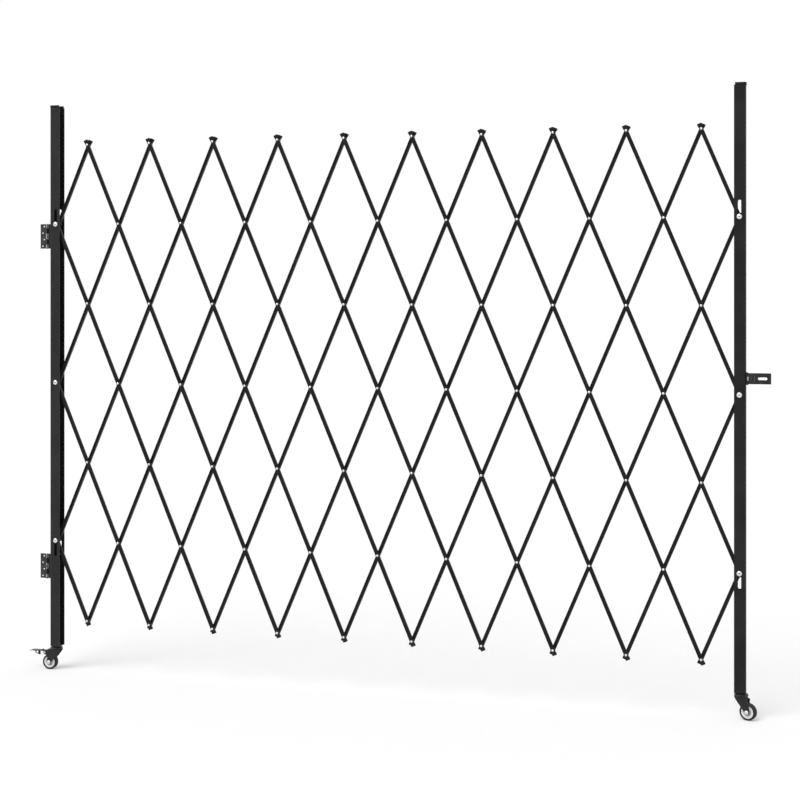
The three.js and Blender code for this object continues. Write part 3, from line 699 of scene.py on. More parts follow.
def buildBar(name, run, side):
    # Channel, tips at the ends that stand outside the posts, and the front bars' rivets between the posts
    # Rear bars take the lighter copy, painted light over the shade in their channels
    paint = barPaint if side < 0 else rearBarPaintWithPaintedLight
    makePiece(name.replace("_bar_", "Bar"), [channelBar(run, side)], paint, name, [name], sharp=50)
    top, down, across = barAxes(run)
    columns = run["columns"]
    free = {
        column: top + down * step * pitch
        for step, column in enumerate(columns) if 0 < column < lattice["columns"]
    }
    ends = [(columns[0], -down), (columns[-1], down)]
    tips = [barTip(free[column], outward, across, side) for column, outward in ends if column in free]
    makePiece(name.replace("_bar_", "Tips"), tips, blackMoulding, name, sharp=50)
    if side < 0:
        rivets = [latticeRivet(place) for place in free.values()]
        makePiece(name.replace("_bar_", "Rivets"), rivets, zincPlate, name, sharp=40)


barCount = (lattice["columns"] + lattice["lowestLevel"]) // 2
for number in range(barCount):
    buildBar(f"front_bar_{number + 1:02d}", fallingBar(2 * number + 1 - lattice["lowestLevel"]), -1)
    buildBar(f"rear_bar_{number + 1:02d}", risingBar(2 * number + 1), 1)
print("stage: lattice ready")


# Posts: bent channels with slots, a foot plate and a moulded cap
post = {
    "height": 1.803, "width": 0.035, "depth": 0.035, "sheet": 0.002, "bend": 0.002, "webOutboard": 0.0195,
    "slotWidth": 0.0106, "slotLength": 0.046, "holeRadius": 0.00535, "cellMargin": 0.008, "cellStep": 0.004,
    "footPlate": 0.003, "fit": 0.0001, "mouthGap": 0.0004, "plateCorner": 0.0012, "stemHole": 0.0045,
}
cap = {
    "height": 0.007, "proud": 0.0011, "wall": 0.0042, "corner": 0.0028, "setback": 0.003, "seat": 0.0003,
    "plugInset": 0.011, "blockCorner": 0.0012, "overlap": 0.0004, "edge": 0.0006,
    # Height from the post's end, and scale there, of the panel in the rim and of the plug below it
    "panel": [(0.0003, 1.0), (0.0058, 1.0), (0.0062, 0.985)],
    "plug": [(-0.012, 0.94), (-0.0096, 1.0), (0.0006, 1.0)],
}
webInside = post["webOutboard"] - post["sheet"] - post["fit"]


def postSurfaces(pin, side):
    # Developed sheet (u across, v up) with slot cells in both flanges, bent by the section line
    halfDepth = (post["depth"] - post["sheet"]) / 2
    lipX, webX = post["webOutboard"] - post["width"], post["webOutboard"] - post["sheet"] / 2
    corners = [(lipX, -halfDepth), (webX, -halfDepth), (webX, halfDepth), (lipX, halfDepth)]
    line = bentLine(corners, post["bend"], 7)
    lengths, place = sheetPlace(line * [side, 1], pin * [1, 1, 0])
    total = lengths[-1]
    flange = np.linspace(0, lengths[1], 9)
    bendsAndWeb = filledMiddle(lengths[1:-1], 7)
    low, high, radius = pin[2] - 2 * levelDrop, pin[2] + 2 * levelDrop, post["slotWidth"] / 2
    slots = [
        (low - post["slotLength"], low, radius), (pin[2], pin[2], post["holeRadius"]),
        (high, high + post["slotLength"], radius),
    ]
    cells = []
    for start, end, radius in slots:
        edge = radius + post["cellMargin"]
        count = max(6, round((end - start + 2 * edge) / post["cellStep"]))
        cells.append((np.linspace(start - edge, end + edge, count + 1), start, end, radius))
    cellEnds = [v for vs, *_ in cells for v in (vs[0], vs[-1])]
    breaks = np.array([footZ, *cellEnds, footZ + post["height"]]).reshape(-1, 2)
    us = np.concatenate([flange, bendsAndWeb[1:], total - flange[-2::-1]])
    surfaces = [mappedSheet(flatGrid(us, np.linspace(start, end, 7)), place) for start, end in breaks]
    for vs, start, end, radius in cells:
        surfaces.append(mappedSheet(flatGrid(bendsAndWeb, vs), place))
        for flangeUs, pinU in ((flange, -lipX), (total - flange[::-1], total + lipX)):
            ring = ringPatch(cellOutline(flangeUs, vs), (pinU, start), (pinU, end), radius, 4)
            surfaces.append(mappedSheet(ring, place))
    return surfaces


def footPlate(place, side, pin):
    # Plate that fills the channel's foot, with a round hole for the caster's stem
    lip = post["width"] - post["webOutboard"] - post["mouthGap"]
    middleX = pin[0] + side * (webInside - lip) / 2
    hole = (jointPlace[f"{place}_caster_swivel"][0] - middleX, 0)
    inside = post["depth"] - 2 * (post["sheet"] + post["fit"])
    outline = roundedLoop(webInside + lip, inside, post["plateCorner"], 8)
    flat, faces = ringPatch(outline, hole, hole, post["stemHole"], 2)
    middle = np.array([middleX, midY, footZ + post["footPlate"] / 2])
    return placed(middle, world, *flat.T), faces


def capSurfaces(side, pin):
    # Moulded rim that follows the channel and leaves its mouth open, a lid panel by the web and a plug below
    wall, mouthX = cap["wall"], post["webOutboard"] - post["width"] + cap["setback"]
    rimX = post["webOutboard"] + cap["proud"] - wall / 2
    rimY = post["depth"] / 2 + cap["proud"] - wall / 2
    origin = pin * [1, 1, 0] + zAxis * (footZ + post["height"])
    rimLine = bentLine([(mouthX, -rimY), (rimX, -rimY), (rimX, rimY), (mouthX, rimY)], cap["corner"], 5)
    section = sheetSection(rimLine, wall)
    levels = np.array([cap["seat"], cap["height"] / 2, cap["height"]])
    rim = placed(origin, world, side * section[:, 0], section[:, 1], levels[:, None])
    lip, web = post["width"] - post["webOutboard"] - cap["plugInset"], webInside - cap["seat"]
    middle = origin + side * xAxis * (web - lip) / 2
    panelDepth = 2 * rimY - wall + cap["overlap"]
    plugDepth = post["depth"] - 2 * (post["sheet"] + cap["seat"])
    surfaces = [sweptSheet(rim)]
    for depth, shares in ((panelDepth, cap["panel"]), (plugDepth, cap["plug"])):
        rows = [(z, (lip + web) * scale, depth * scale, cap["blockCorner"]) for z, scale in shares]
        surfaces.append(steppedBlock(rows, middle, zAxis, xAxis, yAxis))
    return surfaces


def buildPost(place, side, pin):
    # Channel, foot plate and cap, with the channel's open side towards the other post
    body = f"{place}_post"
    makePiece(f"{place}Post", postSurfaces(pin, side), blackPaint, body, [body],
              thickness=post["sheet"], bevel=softEdge, sharp=40)
    makePiece(f"{place}FootPlate", [footPlate(place, side, pin)], blackPaint, body,
              thickness=post["footPlate"] - 2 * post["fit"], bevel=fineEdge)
    makePiece(f"{place}PostCap", capSurfaces(side, pin), blackMoulding, body, [f"{place}_post_cap"],
              bevel=cap["edge"])


buildPost("left", -1, leftPin)
buildPost("right", 1, rightPin)
print("stage: posts ready")


# Post pins: zinc flanged bushes with a drilled eye in each end
postPin = {
    "shank": 0.0028, "bush": 0.0049, "seat": 0.0003,
    # (radius, height above the flange's underside) of the flange with its ring, and of the eye with its cone
    "flange": [
        (0.0049, 0), (0.0071, 0), (0.0075, 0.0003), (0.0075, 0.0009), (0.0069, 0.0013), (0.0054, 0.0014),
        (0.0045, 0.0022), (0.0038, 0.0024), (0.0023, 0.0024), (0.0018, 0.0021),
    ],
    "eye": [(0, -0.003), (0.001746, -0.0022), (0.0018, 0.0021)],
    "columns": {"left": 0, "right": lattice["columns"]}, "levels": {"upper": 1, "middle": 3, "lower": 5},
}
# The body that each pin rides: its post, or the bar whose end slides in the post's slot
pinBodies = {
    "left_upper_pin": "front_bar_03", "left_middle_pin": "left_post", "left_lower_pin": "front_bar_01",
    "right_upper_pin": "front_bar_13", "right_middle_pin": "right_post", "right_lower_pin": "front_bar_11",
}


def buildPostPin(node, body):
    # Shank and bush along Y with a flange on both faces of the post, and a dark cup in each eye's bore,
    # painted shade in the drilled hole
    side, height, _ = node.split("_")
    place = pivotPlace(postPin["columns"][side], postPin["levels"][height])
    under, bushEnd = post["depth"] / 2 + postPin["seat"], faceY + postPin["seat"]
    rear = [(postPin["shank"], bushEnd), (postPin["bush"], bushEnd), *raised(postPin["flange"], under)]
    pin = turnedForm(mirrored(rear) + rear, place, yAxis, xAxis)
    eye = raised(postPin["eye"], under)
    eyeShadeCups = [turnedForm([(r, sign * y) for r, y in eye], place, yAxis, xAxis) for sign in (1, -1)]
    makePiece(f"{side}{height.title()}Pin", [pin], zincPlate, body, [node], sharp=40)
    makePiece(f"{side}{height.title()}PinEyeShade", eyeShadeCups, paintedShadeBore, body, sharp=40)


for node, body in pinBodies.items():
    buildPostPin(node, body)
print("stage: post pins ready")


# Wall hinges: five rolled knuckles, a flat wall leaf with screw holes and an angled post leaf
hinge = {
    "sheet": 0.002, "knuckle": 0.00365, "wallReach": 0.025, "clear": 0.0034, "sweep": 4.95, "play": 0.00015,
    "hole": 0.0025, "rowPitch": 0.022, "columnPitch": 0.005, "endKnuckle": 0.0135, "middleKnuckle": 0.018,
    "webGap": 0.0137, "postReach": 0.026, "bend": 0.002, "pinOver": 0.0003,
}
hingePin = {"shank": 0.0019, "headRadius": 0.0029, "headHeight": 0.0012}


def knuckleRows(half):
    # Low and high edges of the five knuckles from the top down, with play between neighbours
    between = (2 * half - 2 * hinge["endKnuckle"] - hinge["middleKnuckle"]) / 2
    lengths = [hinge["endKnuckle"], between, hinge["middleKnuckle"], between, hinge["endKnuckle"]]
    tops = half - np.concatenate([[0], np.cumsum(lengths)])
    return [(tops[i + 1] + hinge["play"] * (i < 4), tops[i] - hinge["play"] * (i > 0)) for i in range(5)]


def evenRows(half, count):
    # The height from -half to half in rows of seven steps each
    edges = np.linspace(-half, half, count + 1)
    return [np.linspace(low, high, 8) for low, high in zip(edges[:-1], edges[1:])]


def leafSheet(line, clear, own, rowVs, holes, centre, start=0, steps=8):
    # Plate from start up to a clearance before the roll, in rows that each hold one screw hole or none,
    # and one rolled strip for each of the leaf's own knuckles
    lengths, place = sheetPlace(line, centre)
    plateReach = lengths[-rollSteps] - clear
    edges = np.ravel(own)
    bends = lengths[(lengths > start) & (lengths < plateReach)]
    us = mergedStations(np.linspace(start, plateReach, steps + 1), bends)
    surfaces = []
    for even, hole in zip(rowVs, holes):
        vs = mergedStations(even, edges[(edges > even[0] + 1e-6) & (edges < even[-1] - 1e-6)])
        flat = flatGrid(us, vs)
        if hole is not None:
            flat = ringPatch(cellOutline(us, vs), hole, hole, hinge["hole"])
        surfaces.append(mappedSheet(flat, place))
    stripUs = np.concatenate([[np.round(plateReach, 7)], lengths[lengths > plateReach + 1e-6]])
    allVs = mergedStations(*rowVs)
    for low, high in own:
        vs = mergedStations([low, high], allVs[(allVs > low) & (allVs < high)])
        surfaces.append(mappedSheet(flatGrid(stripUs, vs), place))
    return surfaces


def buildHinge(place):
    # Flat wall leaf, post leaf bent on to the post's web, both rolled round the pin, and the pin
    low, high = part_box(f"{place}_wall_leaf")
    half = (high[2] - low[2]) / 2
    centre = np.array([*jointPlace["gate_swing"][:2], (low[2] + high[2]) / 2])
    knuckles, rowVs = knuckleRows(half), evenRows(half, 4)
    sheet, radius = hinge["sheet"], hinge["knuckle"] - hinge["sheet"] / 2
    wallFlat = np.linspace([-hinge["wallReach"], radius], [0, radius], 8)
    webX = hinge["webGap"] - sheet / 2
    corners = [(webX, radius - sheet / 2 + hinge["postReach"]), (webX, radius), (0, radius)]
    middleU = (hinge["wallReach"] - hinge["knuckle"]) / 2
    holes = [
        (middleU + (row % 2 - 0.5) * hinge["columnPitch"], (row - 1.5) * hinge["rowPitch"])
        for row in range(4)
    ]
    leaves = [
        # The wall leaf takes the paint with the painted highlight on its knuckles
        ("wall", wallFlat, -1, knuckles[0::2], holes, hingePaintWithPaintedHighlight, "wall_leaves"),
        ("post", bentLine(corners, hinge["bend"]), 1, knuckles[1::2], [None] * 4, blackPaint, "left_post"),
    ]
    for kind, flat, way, own, leafHoles, paint, body in leaves:
        line = curledLine(flat, radius, math.pi / 2, way * hinge["sweep"])
        leaf = leafSheet(line, hinge["clear"], own, rowVs, leafHoles, centre)
        makePiece(f"{place}{kind.title()}Leaf", leaf, paint, body, [f"{place}_{kind}_leaf"],
                  thickness=sheet, bevel=fineEdge)
    pin = headedPin(centre, zAxis, xAxis, hingePin, half + hinge["pinOver"])
    makePiece(f"{place}HingePin", [pin], zincPlate, "wall_leaves", [f"{place}_hinge_pin"])


for place in ("upper", "lower"):
    buildHinge(place)
print("stage: hinges ready")


# Casters: stem and race on the post, pressed fork, riveted axle, moulded wheel and tyre
caster = {"drop": 0.055, "trail": 0.022, "seat": 0.0003, "forkInside": 0.0105, "forkSheet": 0.0025}
stem = {
    "shank": 0.004, "threadBase": 0.0031, "threadStep": 0.0004, "threadDepth": 0.0004, "threadPoints": 18,
    "nutBase": 0.0033, "nutHeight": 0.0065, "nutAcross": 0.01296,
    # (radius, height from the crown's underside) of the riveted head
    "head": [(0, -0.003), (0.0066, -0.003), (0.008, -0.0022), (0.008, 0)],
}
race = {
    "height": 0.003,
    # (radius, height above the race's underside)
    "profile": [
        (0.0041, 0), (0.0142, 0), (0.015, 0.0009), (0.015, 0.00165), (0.0143, 0.00195), (0.0146, 0.0026),
        (0.014, 0.003), (0.0041, 0.003), (0.0041, 0),
    ],
}
fork = {
    "crownBore": 0.00445, "crown": 0.021, "crownHeight": 0.007, "crownBend": 0.0035, "legSheet": 0.002,
    "earSheet": 0.0018, "dipMiddle": 0.62, "dipWidth": 0.2,
}
# Plates of the fork: outlines and holes in shares of trail and drop, sideways shift and pressed dip,
# rings of points between them and the longest side between two points
plainLeg = {
    "outline": [
        (-0.78, 0.16), (0.78, 0.16), (1.0, 0.2), (1.1, 0.32), (1.34, 0.86), (1.36, 1.0), (1.25, 1.11),
        (1.0, 1.145), (0.75, 1.1), (0.6, 0.97), (-0.36, 0.5), (-0.78, 0.27),
    ],
    "corner": 0.003, "hole": (1, 1), "holeRadius": 0.00345, "shift": 0.0001, "dip": 0.0003, "rings": 6,
    "longest": 0.003,
}
cutLeg = {
    **plainLeg,
    "outline": [
        (-0.78, 0.16), (0.56, 0.16), (0.68, 0.2), (0.74, 0.34), (0.98, 0.54), (1.3, 0.84), (1.36, 1.0),
        (1.25, 1.11), (1.0, 1.145), (0.75, 1.1), (0.6, 0.97), (-0.36, 0.5), (-0.78, 0.27),
    ],
}
pedalEar = {
    "outline": [(0.9, 0.2), (1.62, 0.3), (1.92, 0.36), (1.92, 0.5), (1.45, 0.57), (1.2, 0.75), (0.95, 0.6)],
    "corner": 0.0022, "hole": (1.66, 0.42), "holeRadius": 0.0021, "shift": -0.0001, "dip": 0.0, "rings": 4,
    "longest": 0.003,
}
horn = {
    **pedalEar, "outline": [(0.6, 0.3), (0.98, 0.33), (1.04, 0.38), (0.95, 0.56), (0.62, 0.5)],
    "corner": 0.0015, "hole": (0.82, 0.42), "holeRadius": 0.0011,
}
axle = {
    "shank": 0.003, "headRadius": 0.0063, "headHeight": 0.003, "collar": 0.0008, "domeShare": 0.96,
    "nutAcross": 0.010175, "nutHeight": 0.0026, "nutChamfer": 0.0004,
    # (radius, length past the fork) of the riveted end
    "end": [(0.003, 0.0023), (0.0025, 0.0028), (0, 0.0028)],
}
# Sections as (radius, distance from the wheel's middle): core and tyre are mirrored, each side has a cover
wheel = {
    "core": [
        (0.0192, 0.0076), (0.0188, 0.008), (0.0167, 0.008), (0.0162, 0.0075), (0.0159, 0.007),
        (0.0148, 0.0066), (0.0089, 0.0066), (0.0078, 0.0071), (0.0075, 0.0098), (0.0071, 0.0102),
        (0.00345, 0.0102),
    ],
    "cover": [
        (0.00345, 0.0066), (0.0124, 0.0066), (0.0124, 0.0072), (0.0118, 0.0077), (0.0081, 0.0083),
        (0.0079, 0.0103), (0.00385, 0.01035), (0.00345, 0.01), (0.00345, 0.0066),
    ],
    "tyre": [
        (0.025, 0), (0.025, 0.004), (0.0249, 0.0068), (0.0245, 0.0079), (0.0237, 0.0087), (0.0226, 0.009),
        (0.0195, 0.009),
    ],
}
crownTop = -2 * caster["seat"] - race["height"]
forkOutside = caster["forkInside"] + caster["forkSheet"] + caster["seat"]


def casterAxes(place):
    # Foot of the post, then the way along the trail and the way across the fork
    foot = jointPlace[f"{place}_caster_swivel"]
    along = (jointPlace[f"{place}_wheel_spin"] - foot) * [1, 1, 0]
    along /= np.linalg.norm(along)
    return foot, along, np.cross(zAxis, along)


def forkPlate(form, middleY, axes):
    # Flat plate from its hole to its outline, pressed sideways by a bell curve of the way between them
    foot, along, across = axes
    rings, scale = form["rings"], np.array([caster["trail"], -caster["drop"]])
    outline = roundedOutline(np.array(form["outline"]) * scale, form["corner"])
    outline = splitLong(outline, form["longest"])
    hole = np.array(form["hole"]) * scale
    points, faces = ringPatch(outline, hole, hole, form["holeRadius"], rings)
    share = np.repeat(np.linspace(0, 1, rings + 1), len(outline))
    bell = np.exp(-((share - fork["dipMiddle"]) / fork["dipWidth"]) ** 2)
    side = middleY + np.sign(middleY) * (form["shift"] - form["dip"] * bell)
    return placed(foot, (along, across, zAxis), points[:, 0], side, points[:, 1]), faces


def buildStem(place, foot):
    # Riveted head, thread and nut of the stem, and the race under the foot plate
    neck = crownTop - caster["forkSheet"] - caster["seat"]
    shank, depth, step = stem["shank"], stem["threadDepth"], stem["threadStep"]
    thread = [(shank - depth * (i % 2), stem["threadBase"] + step * i) for i in range(stem["threadPoints"])]
    top = stem["threadBase"] + step * stem["threadPoints"]
    profile = [*raised(stem["head"], neck), (shank, neck), *thread, (shank - 2 * depth, top), (0, top)]
    nut = hexNut(foot, zAxis, xAxis, stem["nutAcross"], stem["nutBase"], stem["nutBase"] + stem["nutHeight"])
    makePiece(f"{place}CasterStem", [turnedForm(profile, foot, zAxis, xAxis), nut], zincPlate,
              f"{place}_post", [f"{place}_caster_stem"])
    ring = raised(race["profile"], -caster["seat"] - race["height"])
    makePiece(f"{place}CasterRace", [turnedForm(ring, foot, zAxis, xAxis, 48)], blackPaint, f"{place}_post")


def buildFork(place, axes, isBraked):
    # Turned crown, a leg on each side, and the ears of the pedal's pin or a horn
    body, sheet = f"{place}_caster_fork", caster["forkSheet"]
    rimX, middleZ = fork["crown"] - sheet / 2, crownTop - sheet / 2
    shoulder = [(fork["crownBore"], middleZ), (rimX, middleZ), (rimX, crownTop - fork["crownHeight"])]
    section = sheetSection(bentLine(shoulder, fork["crownBend"], 8), sheet)
    crown = turnedForm(np.vstack([section, section[:1]]), axes[0], zAxis, xAxis, 48)
    makePiece(f"{place}ForkCrown", [crown], blackPaint, body, [body], bevel=fineEdge)
    legY = caster["forkInside"] + sheet / 2
    legForms = [(-1, plainLeg), (1, plainLeg if isBraked else cutLeg)]
    earForms = [(-1, pedalEar), (1, pedalEar)] if isBraked else [(1, horn)]
    groups = [("Legs", legForms, fork["legSheet"]), ("Ears", earForms, fork["earSheet"])]
    for kind, forms, thickness in groups:
        plates = [forkPlate(form, side * legY, axes) for side, form in forms]
        makePiece(f"{place}Fork{kind}", plates, blackPaint, body, thickness=thickness, bevel=softEdge)


def buildAxle(place, hub, along, outward):
    # Domed head on the outward side, riveted end with its nut on the other
    profile = [(radius, -forkOutside - past) for radius, past in axle["end"]][::-1]
    pin = turnedForm(profile + domedHead(axle, forkOutside, 8), hub, outward, along, 36)
    nutEnd = forkOutside + axle["nutHeight"]
    nut = hexNut(hub, -outward, along, axle["nutAcross"], forkOutside, nutEnd, axle["nutChamfer"])
    makePiece(f"{place}Axle", [pin, nut], zincPlate, f"{place}_caster_fork", [f"{place}_axle"])


def buildWheel(place, hub, along, across):
    # Core, a cover on each side and the tyre, all turned about the axle
    body = f"{place}_wheel"
    core = turnedForm(closedRing(wheel["core"]), hub, across, along, 56)
    makePiece(f"{place}WheelCore", [core], paleMoulding, body, [f"{place}_wheel_core"])
    covers = [turnedForm(wheel["cover"], hub, across * side, along, 48) for side in (-1, 1)]
    makePiece(f"{place}HubCovers", covers, greyBearing, body)
    tyre = turnedForm(closedRing(wheel["tyre"]), hub, across, along, 64)
    makePiece(f"{place}Tyre", [tyre], blackRubber, body, [f"{place}_tyre"])


def buildCaster(place, isBraked):
    # The hub lies one trail along and one drop below the foot of the post
    axes = casterAxes(place)
    foot, along, across = axes
    hub = foot + along * caster["trail"] - zAxis * caster["drop"]
    buildStem(place, foot)
    buildFork(place, axes, isBraked)
    buildAxle(place, hub, along, across if isBraked else -across)
    buildWheel(place, hub, along, across)


buildCaster("left", True)
buildCaster("right", False)
print("stage: casters ready")


# Brake pedal of the left caster: a flanged pressing with a lug, a tab, a shoe and a rolled barrel
pedal = {
    "reach": 0.098, "topShare": 0.33, "sheet": 0.0018, "plateSheet": 0.00162, "lugSheet": 0.0027,
    "half": 0.0089, "neckHalf": 0.0084, "neckEnd": 0.0485, "widenBefore": 0.004, "widenLength": 0.006,
    "neckOver": 0.006, "padStart": 0.008, "tipInset": 0.0006,
    "tipRound": 0.005, "tipRoundLength": 0.0046, "droop": 0.0045, "droopLength": 0.016,
    "flange": 0.0012, "flangeStop": 0.004, "flangeFade": 0.012, "rootFade": 0.008, "rootShare": 0.2,
    "sectionBend": 0.16, "tabPlace": 2.24, "shoeGap": 0.004, "sink": 0.001,
    # (radius, distance from the middle)
    "barrel": [(0.004, 0.0089), (0.0037, 0.0092), (0.0021, 0.0092)],
    # Blocks as (height, length, width, corner): web and shoe from the pin up, tab from the plate's top
    "web": [(0.0022, 0.0046, 0.0176, 0.0008)],
    "shoe": [
        (-0.01, 0.0028, 0.0098, 0.0007), (-0.0088, 0.0038, 0.0133, 0.00095), (-0.004, 0.004, 0.014, 0.001),
    ],
    "tab": [
        (-0.0016, 0.002, 0.01, 0.0007), (0.001925, 0.002, 0.01, 0.0007), (0.00315, 0.00196, 0.0093, 0.0007),
        (0.0035, 0.0017, 0.008, 0.0007),
    ],
}
lug = {
    "outline": [
        (3.64, 0.37), (2.82, 0.37), (2.72, 0.44), (2.66, 0.6), (2.78, 0.64), (2.95, 0.6), (3.2, 0.59),
        (3.52, 0.5),
    ],
    "corner": 0.002, "hole": (3.22, 0.47), "holeRadius": 0.004, "shift": 0.0, "dip": 0.0, "rings": 3,
    "longest": 0.002,
}
pedalPin = {"shank": 0.0016, "headRadius": 0.003, "headHeight": 0.0015}


def pedalPlate(pivotX, top, axes):
    # Section with its edges turned down, whose half width, height and edge depth follow the way along (x):
    # the width steps up after the neck and rounds in at the tip, the height droops by a square
    foot, along, across = axes
    reach, neckEnd = pedal["reach"], pedal["neckEnd"]
    neck = np.linspace(pivotX, neckEnd + pedal["neckOver"], 14)
    pad = np.linspace(neckEnd + pedal["padStart"], reach - pedal["tipInset"], 26)
    x = np.concatenate([neck, pad])
    sag = np.clip((x - reach) / pedal["droopLength"] + 1, 0, 1)
    z = top - pedal["sheet"] / 2 - pedal["droop"] * sag**2
    widen = smoothRise((x - neckEnd + pedal["widenBefore"]) / pedal["widenLength"])
    corner = np.clip((x - reach + pedal["tipRound"]) / pedal["tipRoundLength"], 0, 1)
    half = pedal["neckHalf"] + (pedal["half"] - pedal["neckHalf"]) * widen
    half -= pedal["tipRound"] * (1 - np.sqrt(1 - corner**2))
    depth = pedal["flange"] * np.clip((reach - pedal["flangeStop"] - x) / pedal["flangeFade"], 0, 1)
    depth *= np.clip((x - pivotX) / pedal["rootFade"], pedal["rootShare"], 1)
    section = filledMiddle(bentLine([(-1, -1), (-1, 0), (1, 0), (1, -1)], pedal["sectionBend"], 5), 9)
    aside = half[:, None] * section[:, 0]
    height = z[:, None] + depth[:, None] * section[:, 1]
    points = placed(foot, (along, across, zAxis), x[:, None], aside, height)
    return points.reshape(-1, 3), [gridFaces(len(x), len(section))]


def buildPedal():
    # Plate on top; web and shoe hang from it to the barrel and the tyre, the tab stands on it
    axes = casterAxes("left")
    foot, along, across = axes
    pivot = jointPlace["brake_pedal_press"]
    pivotX, pivotZ = (pivot - foot) @ along, pivot[2] - foot[2]
    top = -pedal["topShare"] * caster["drop"]

    def uprightBlock(x, base, rows):
        raisedRows = [(base + height, *size) for height, *size in rows]
        return steppedBlock(raisedRows, foot + x * along, zAxis, along, across)

    def underPlate(rows):
        # Rows counted from the pin, and the last one again where it meets the plate
        return [*rows, (top - pedal["sink"] - pivotZ, *rows[-1][1:])]

    makePiece("brakePedalPlate", [pedalPlate(pivotX, top, axes)], blackPaint, "brake_pedal", ["brake_pedal"],
              thickness=pedal["plateSheet"], bevel=softEdge, sharp=50)
    blocks = [
        turnedForm(closedRing(pedal["barrel"]), pivot, across, along, 28),
        uprightBlock(pivotX, pivotZ, underPlate(pedal["web"])),
        uprightBlock(pivotX + pedal["shoeGap"], pivotZ, underPlate(pedal["shoe"])),
        uprightBlock(pedal["tabPlace"] * caster["trail"], top, pedal["tab"]),
    ]
    makePiece("brakePedalBody", blocks, blackPaint, "brake_pedal", sharp=45)
    makePiece("brakePedalLug", [forkPlate(lug, 0, axes)], blackPaint, "brake_pedal",
              thickness=pedal["lugSheet"], bevel=softEdge)
    pin = headedPin(pivot, across, along, pedalPin, forkOutside)
    makePiece("brakePedalPin", [pin], zincPlate, "left_caster_fork", ["brake_pedal_pin"])


buildPedal()
print("stage: brake pedal ready")


# Hasp: fixed leaf rolled round the pin above and below, stepped strap with its slot
hasp = {
    "sheet": 0.002, "strap": 0.0025, "knuckle": 0.00365, "fixedHalf": 0.018, "fixedReach": 0.03,
    "sweep": 4.9, "strapHalf": 0.01635, "strapReach": 0.06855, "step": 0.01955, "stepLength": 0.003,
    "stepDepth": 0.003, "stepBend": 0.0025, "slotLength": 0.027, "slotHeight": 0.0079, "slotFromEnd": 0.011,
    "slotMargin": 0.006, "corner": 0.0018, "clear": 0.0036, "play": 0.00015, "pinOver": 0.0003,
}


def slotCell(vs, cellEnd):
    # Strap's end with its rounded corners and the slot, from the free edge up to the cell's end
    half, corner, slotHalf = hasp["strapHalf"], hasp["corner"], hasp["slotHeight"] / 2
    start = hasp["slotFromEnd"] + slotHalf
    end = hasp["slotFromEnd"] + hasp["slotLength"] - slotHalf
    us = np.linspace(corner, cellEnd, 14)
    low = np.stack([us, np.full(len(us), -half)], -1)
    far = np.stack([np.full(len(vs), cellEnd), vs], -1)
    turn = np.linspace(0, math.pi / 2, 7) + math.pi / 2
    highCorner = np.array([corner, half - corner]) + corner * circlePoints(turn)
    inner = vs[(vs > corner - half) & (vs < half - corner)]
    freeEdge = np.stack([np.zeros(len(inner)), inner], -1)[::-1]
    high, lowCorner = low[::-1] * [1, -1], highCorner[::-1] * [1, -1]
    outline = np.concatenate([low, far[1:-1], high, highCorner[1:], freeEdge, lowCorner[:-1]])
    return ringPatch(outline, (start, 0), (end, 0), slotHalf, 4)


def strapSheet(axis, middle):
    # Slot cell, stepped plate and the middle knuckle's roll, laid along the strap's bent line
    radius = hasp["knuckle"] - hasp["strap"] / 2
    stepEnd, raisedY = hasp["step"] + hasp["stepLength"], hasp["stepDepth"] - radius
    corners = [(hasp["strapReach"], raisedY), (stepEnd, raisedY), (hasp["step"], -radius), (0, -radius)]
    flat = bentLine(corners, hasp["stepBend"], 5)
    line = curledLine(flat, radius, -math.pi / 2, -hasp["sweep"])
    cellEnd = hasp["slotFromEnd"] + hasp["slotLength"] + hasp["slotMargin"]
    even = np.linspace(-hasp["strapHalf"], hasp["strapHalf"], 13)
    cell = mappedSheet(slotCell(mergedStations(even, middle), cellEnd), sheetPlace(line, axis)[1])
    return [cell, *leafSheet(line, hasp["clear"], [middle], [even], [None], axis, cellEnd, 7)]


def buildHasp():
    # Fixed leaf with an upper and a lower knuckle, strap with the middle one, and the pin
    axis = jointPlace["hasp_strap_swing"]
    third, play, half = hasp["strapHalf"] / 3, hasp["play"], hasp["fixedHalf"]
    radius = hasp["knuckle"] - hasp["sheet"] / 2
    flat = np.linspace([-radius, hasp["fixedReach"]], [-radius, 0], 10)
    line = curledLine(flat, radius, math.pi, hasp["sweep"])
    outer = [(-half, -third - play), (third + play, half)]
    fixed = leafSheet(line, hasp["clear"], outer, evenRows(half, 3), [None] * 3, axis)
    makePiece("haspFixedLeaf", fixed, blackPaint, "right_post", ["hasp_fixed_leaf"],
              thickness=hasp["sheet"], bevel=softEdge)
    strap = strapSheet(axis, (play - third, third - play))
    # The strap takes the paint with the painted glints
    makePiece("haspStrap", strap, haspPaintWithPaintedGlints, "hasp_strap", ["hasp_strap"],
              thickness=hasp["strap"], bevel=softEdge)
    pin = headedPin(axis, zAxis, xAxis, hingePin, half + hasp["pinOver"])
    makePiece("haspPin", [pin], zincPlate, "right_post", ["hasp_pin"])


buildHasp()
print("stage: hasp ready")


# Studio: pale floor, soft light and the photograph's view
studio = {
    "floorZ": -1.452, "floorHalf": 30.0, "floorColour": grey(0.86), "floorRoughness": 0.9, "floorLift": 0.2,
    "domeDiffuse": 0.55, "sunStrength": 1.6, "sunAngle": 40.0, "sunTurn": (38.0, 0.0, -28.0),
    "cameraPlace": (2.4737, -4.59655, -0.163), "cameraTurn": (90.0, 0.0, 15.06), "lens": 68.1,
    "sensor": 36.0, "shiftY": -0.1438,
}


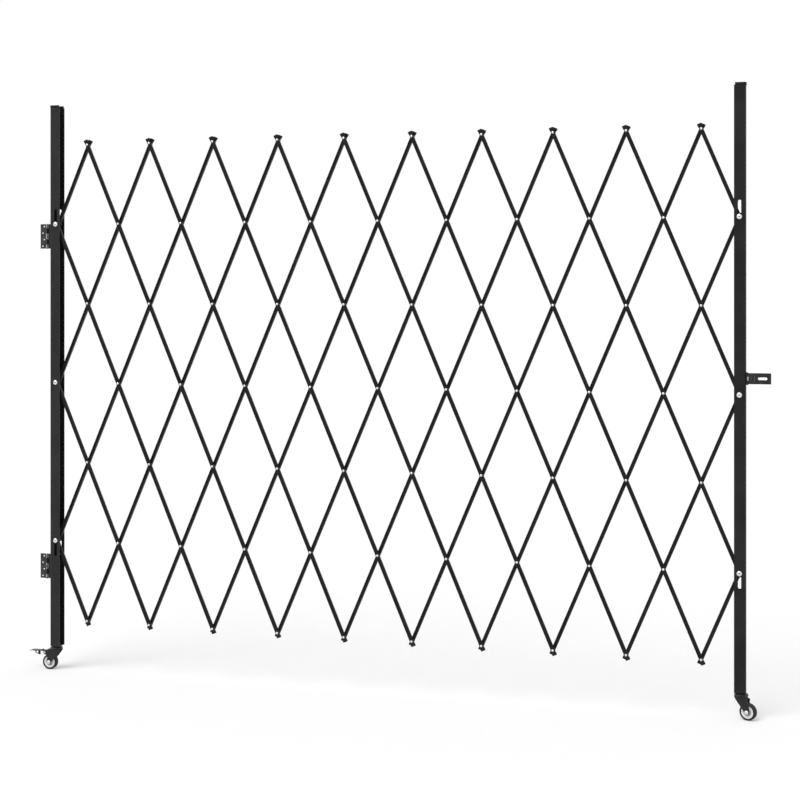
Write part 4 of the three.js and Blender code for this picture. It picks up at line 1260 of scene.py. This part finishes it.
def rayMask(tree):
    # One for camera, glossy and transmission rays
    path = tree.nodes.new("ShaderNodeLightPath").outputs
    seen = calculated(tree, "MAXIMUM", path["Is Camera Ray"], path["Is Glossy Ray"])
    return calculated(tree, "MAXIMUM", seen, path["Is Transmission Ray"])


def addToScene(name, data, turn=(0.0, 0.0, 0.0)):
    # Object turned by angles in degrees
    item = bpy.data.objects.new(name, data)
    item.rotation_euler = [math.radians(angle) for angle in turn]
    bpy.context.scene.collection.objects.link(item)
    return item


def buildFloor():
    # Pale square with a little light of its own for the rays that the picture sees
    half, signs = studio["floorHalf"], ((-1, -1), (1, -1), (1, 1), (-1, 1))
    corners = [(x * half, y * half, studio["floorZ"]) for x, y in signs]
    mesh = bpy.data.meshes.new("studioFloor")
    mesh.from_pydata(corners, [], [(0, 1, 2, 3)])
    material, tree, shader = newMaterial("paleStudioFloor")
    feed(tree, shader["Base Color"], studio["floorColour"])
    feed(tree, shader["Roughness"], studio["floorRoughness"])
    feed(tree, shader["Specular IOR Level"], 0.0)
    feed(tree, shader["Emission Color"], grey(1))
    feed(tree, shader["Emission Strength"], product(tree, rayMask(tree), studio["floorLift"]))
    mesh.materials.append(material)
    addToScene("studioFloor", mesh)


def buildWorld():
    # White for the rays that the picture sees, dimmer for the light that falls on the gate
    sky = bpy.data.worlds.new("whiteStudio")
    bpy.context.scene.world = sky
    sky.use_nodes = True
    tree = sky.node_tree
    background = tree.nodes["Background"].inputs
    feed(tree, background["Color"], grey(1))
    feed(tree, background["Strength"], mapped(tree, rayMask(tree), 0.0, 1.0, studio["domeDiffuse"], 1.0))


def buildLight():
    sun = bpy.data.lights.new("softKey", "SUN")
    sun.energy = studio["sunStrength"]
    sun.angle = math.radians(studio["sunAngle"])
    addToScene("softKey", sun, studio["sunTurn"])


def buildCamera():
    view = bpy.data.cameras.new("studioCamera")
    view.lens = studio["lens"]
    view.sensor_width = studio["sensor"]
    view.shift_y = studio["shiftY"]
    camera = addToScene("studioCamera", view, studio["cameraTurn"])
    camera.location = studio["cameraPlace"]
    bpy.context.scene.camera = camera


buildFloor()
buildWorld()
buildLight()
buildCamera()
bpy.context.scene.view_settings.view_transform = "Standard"
print("stage: studio ready")
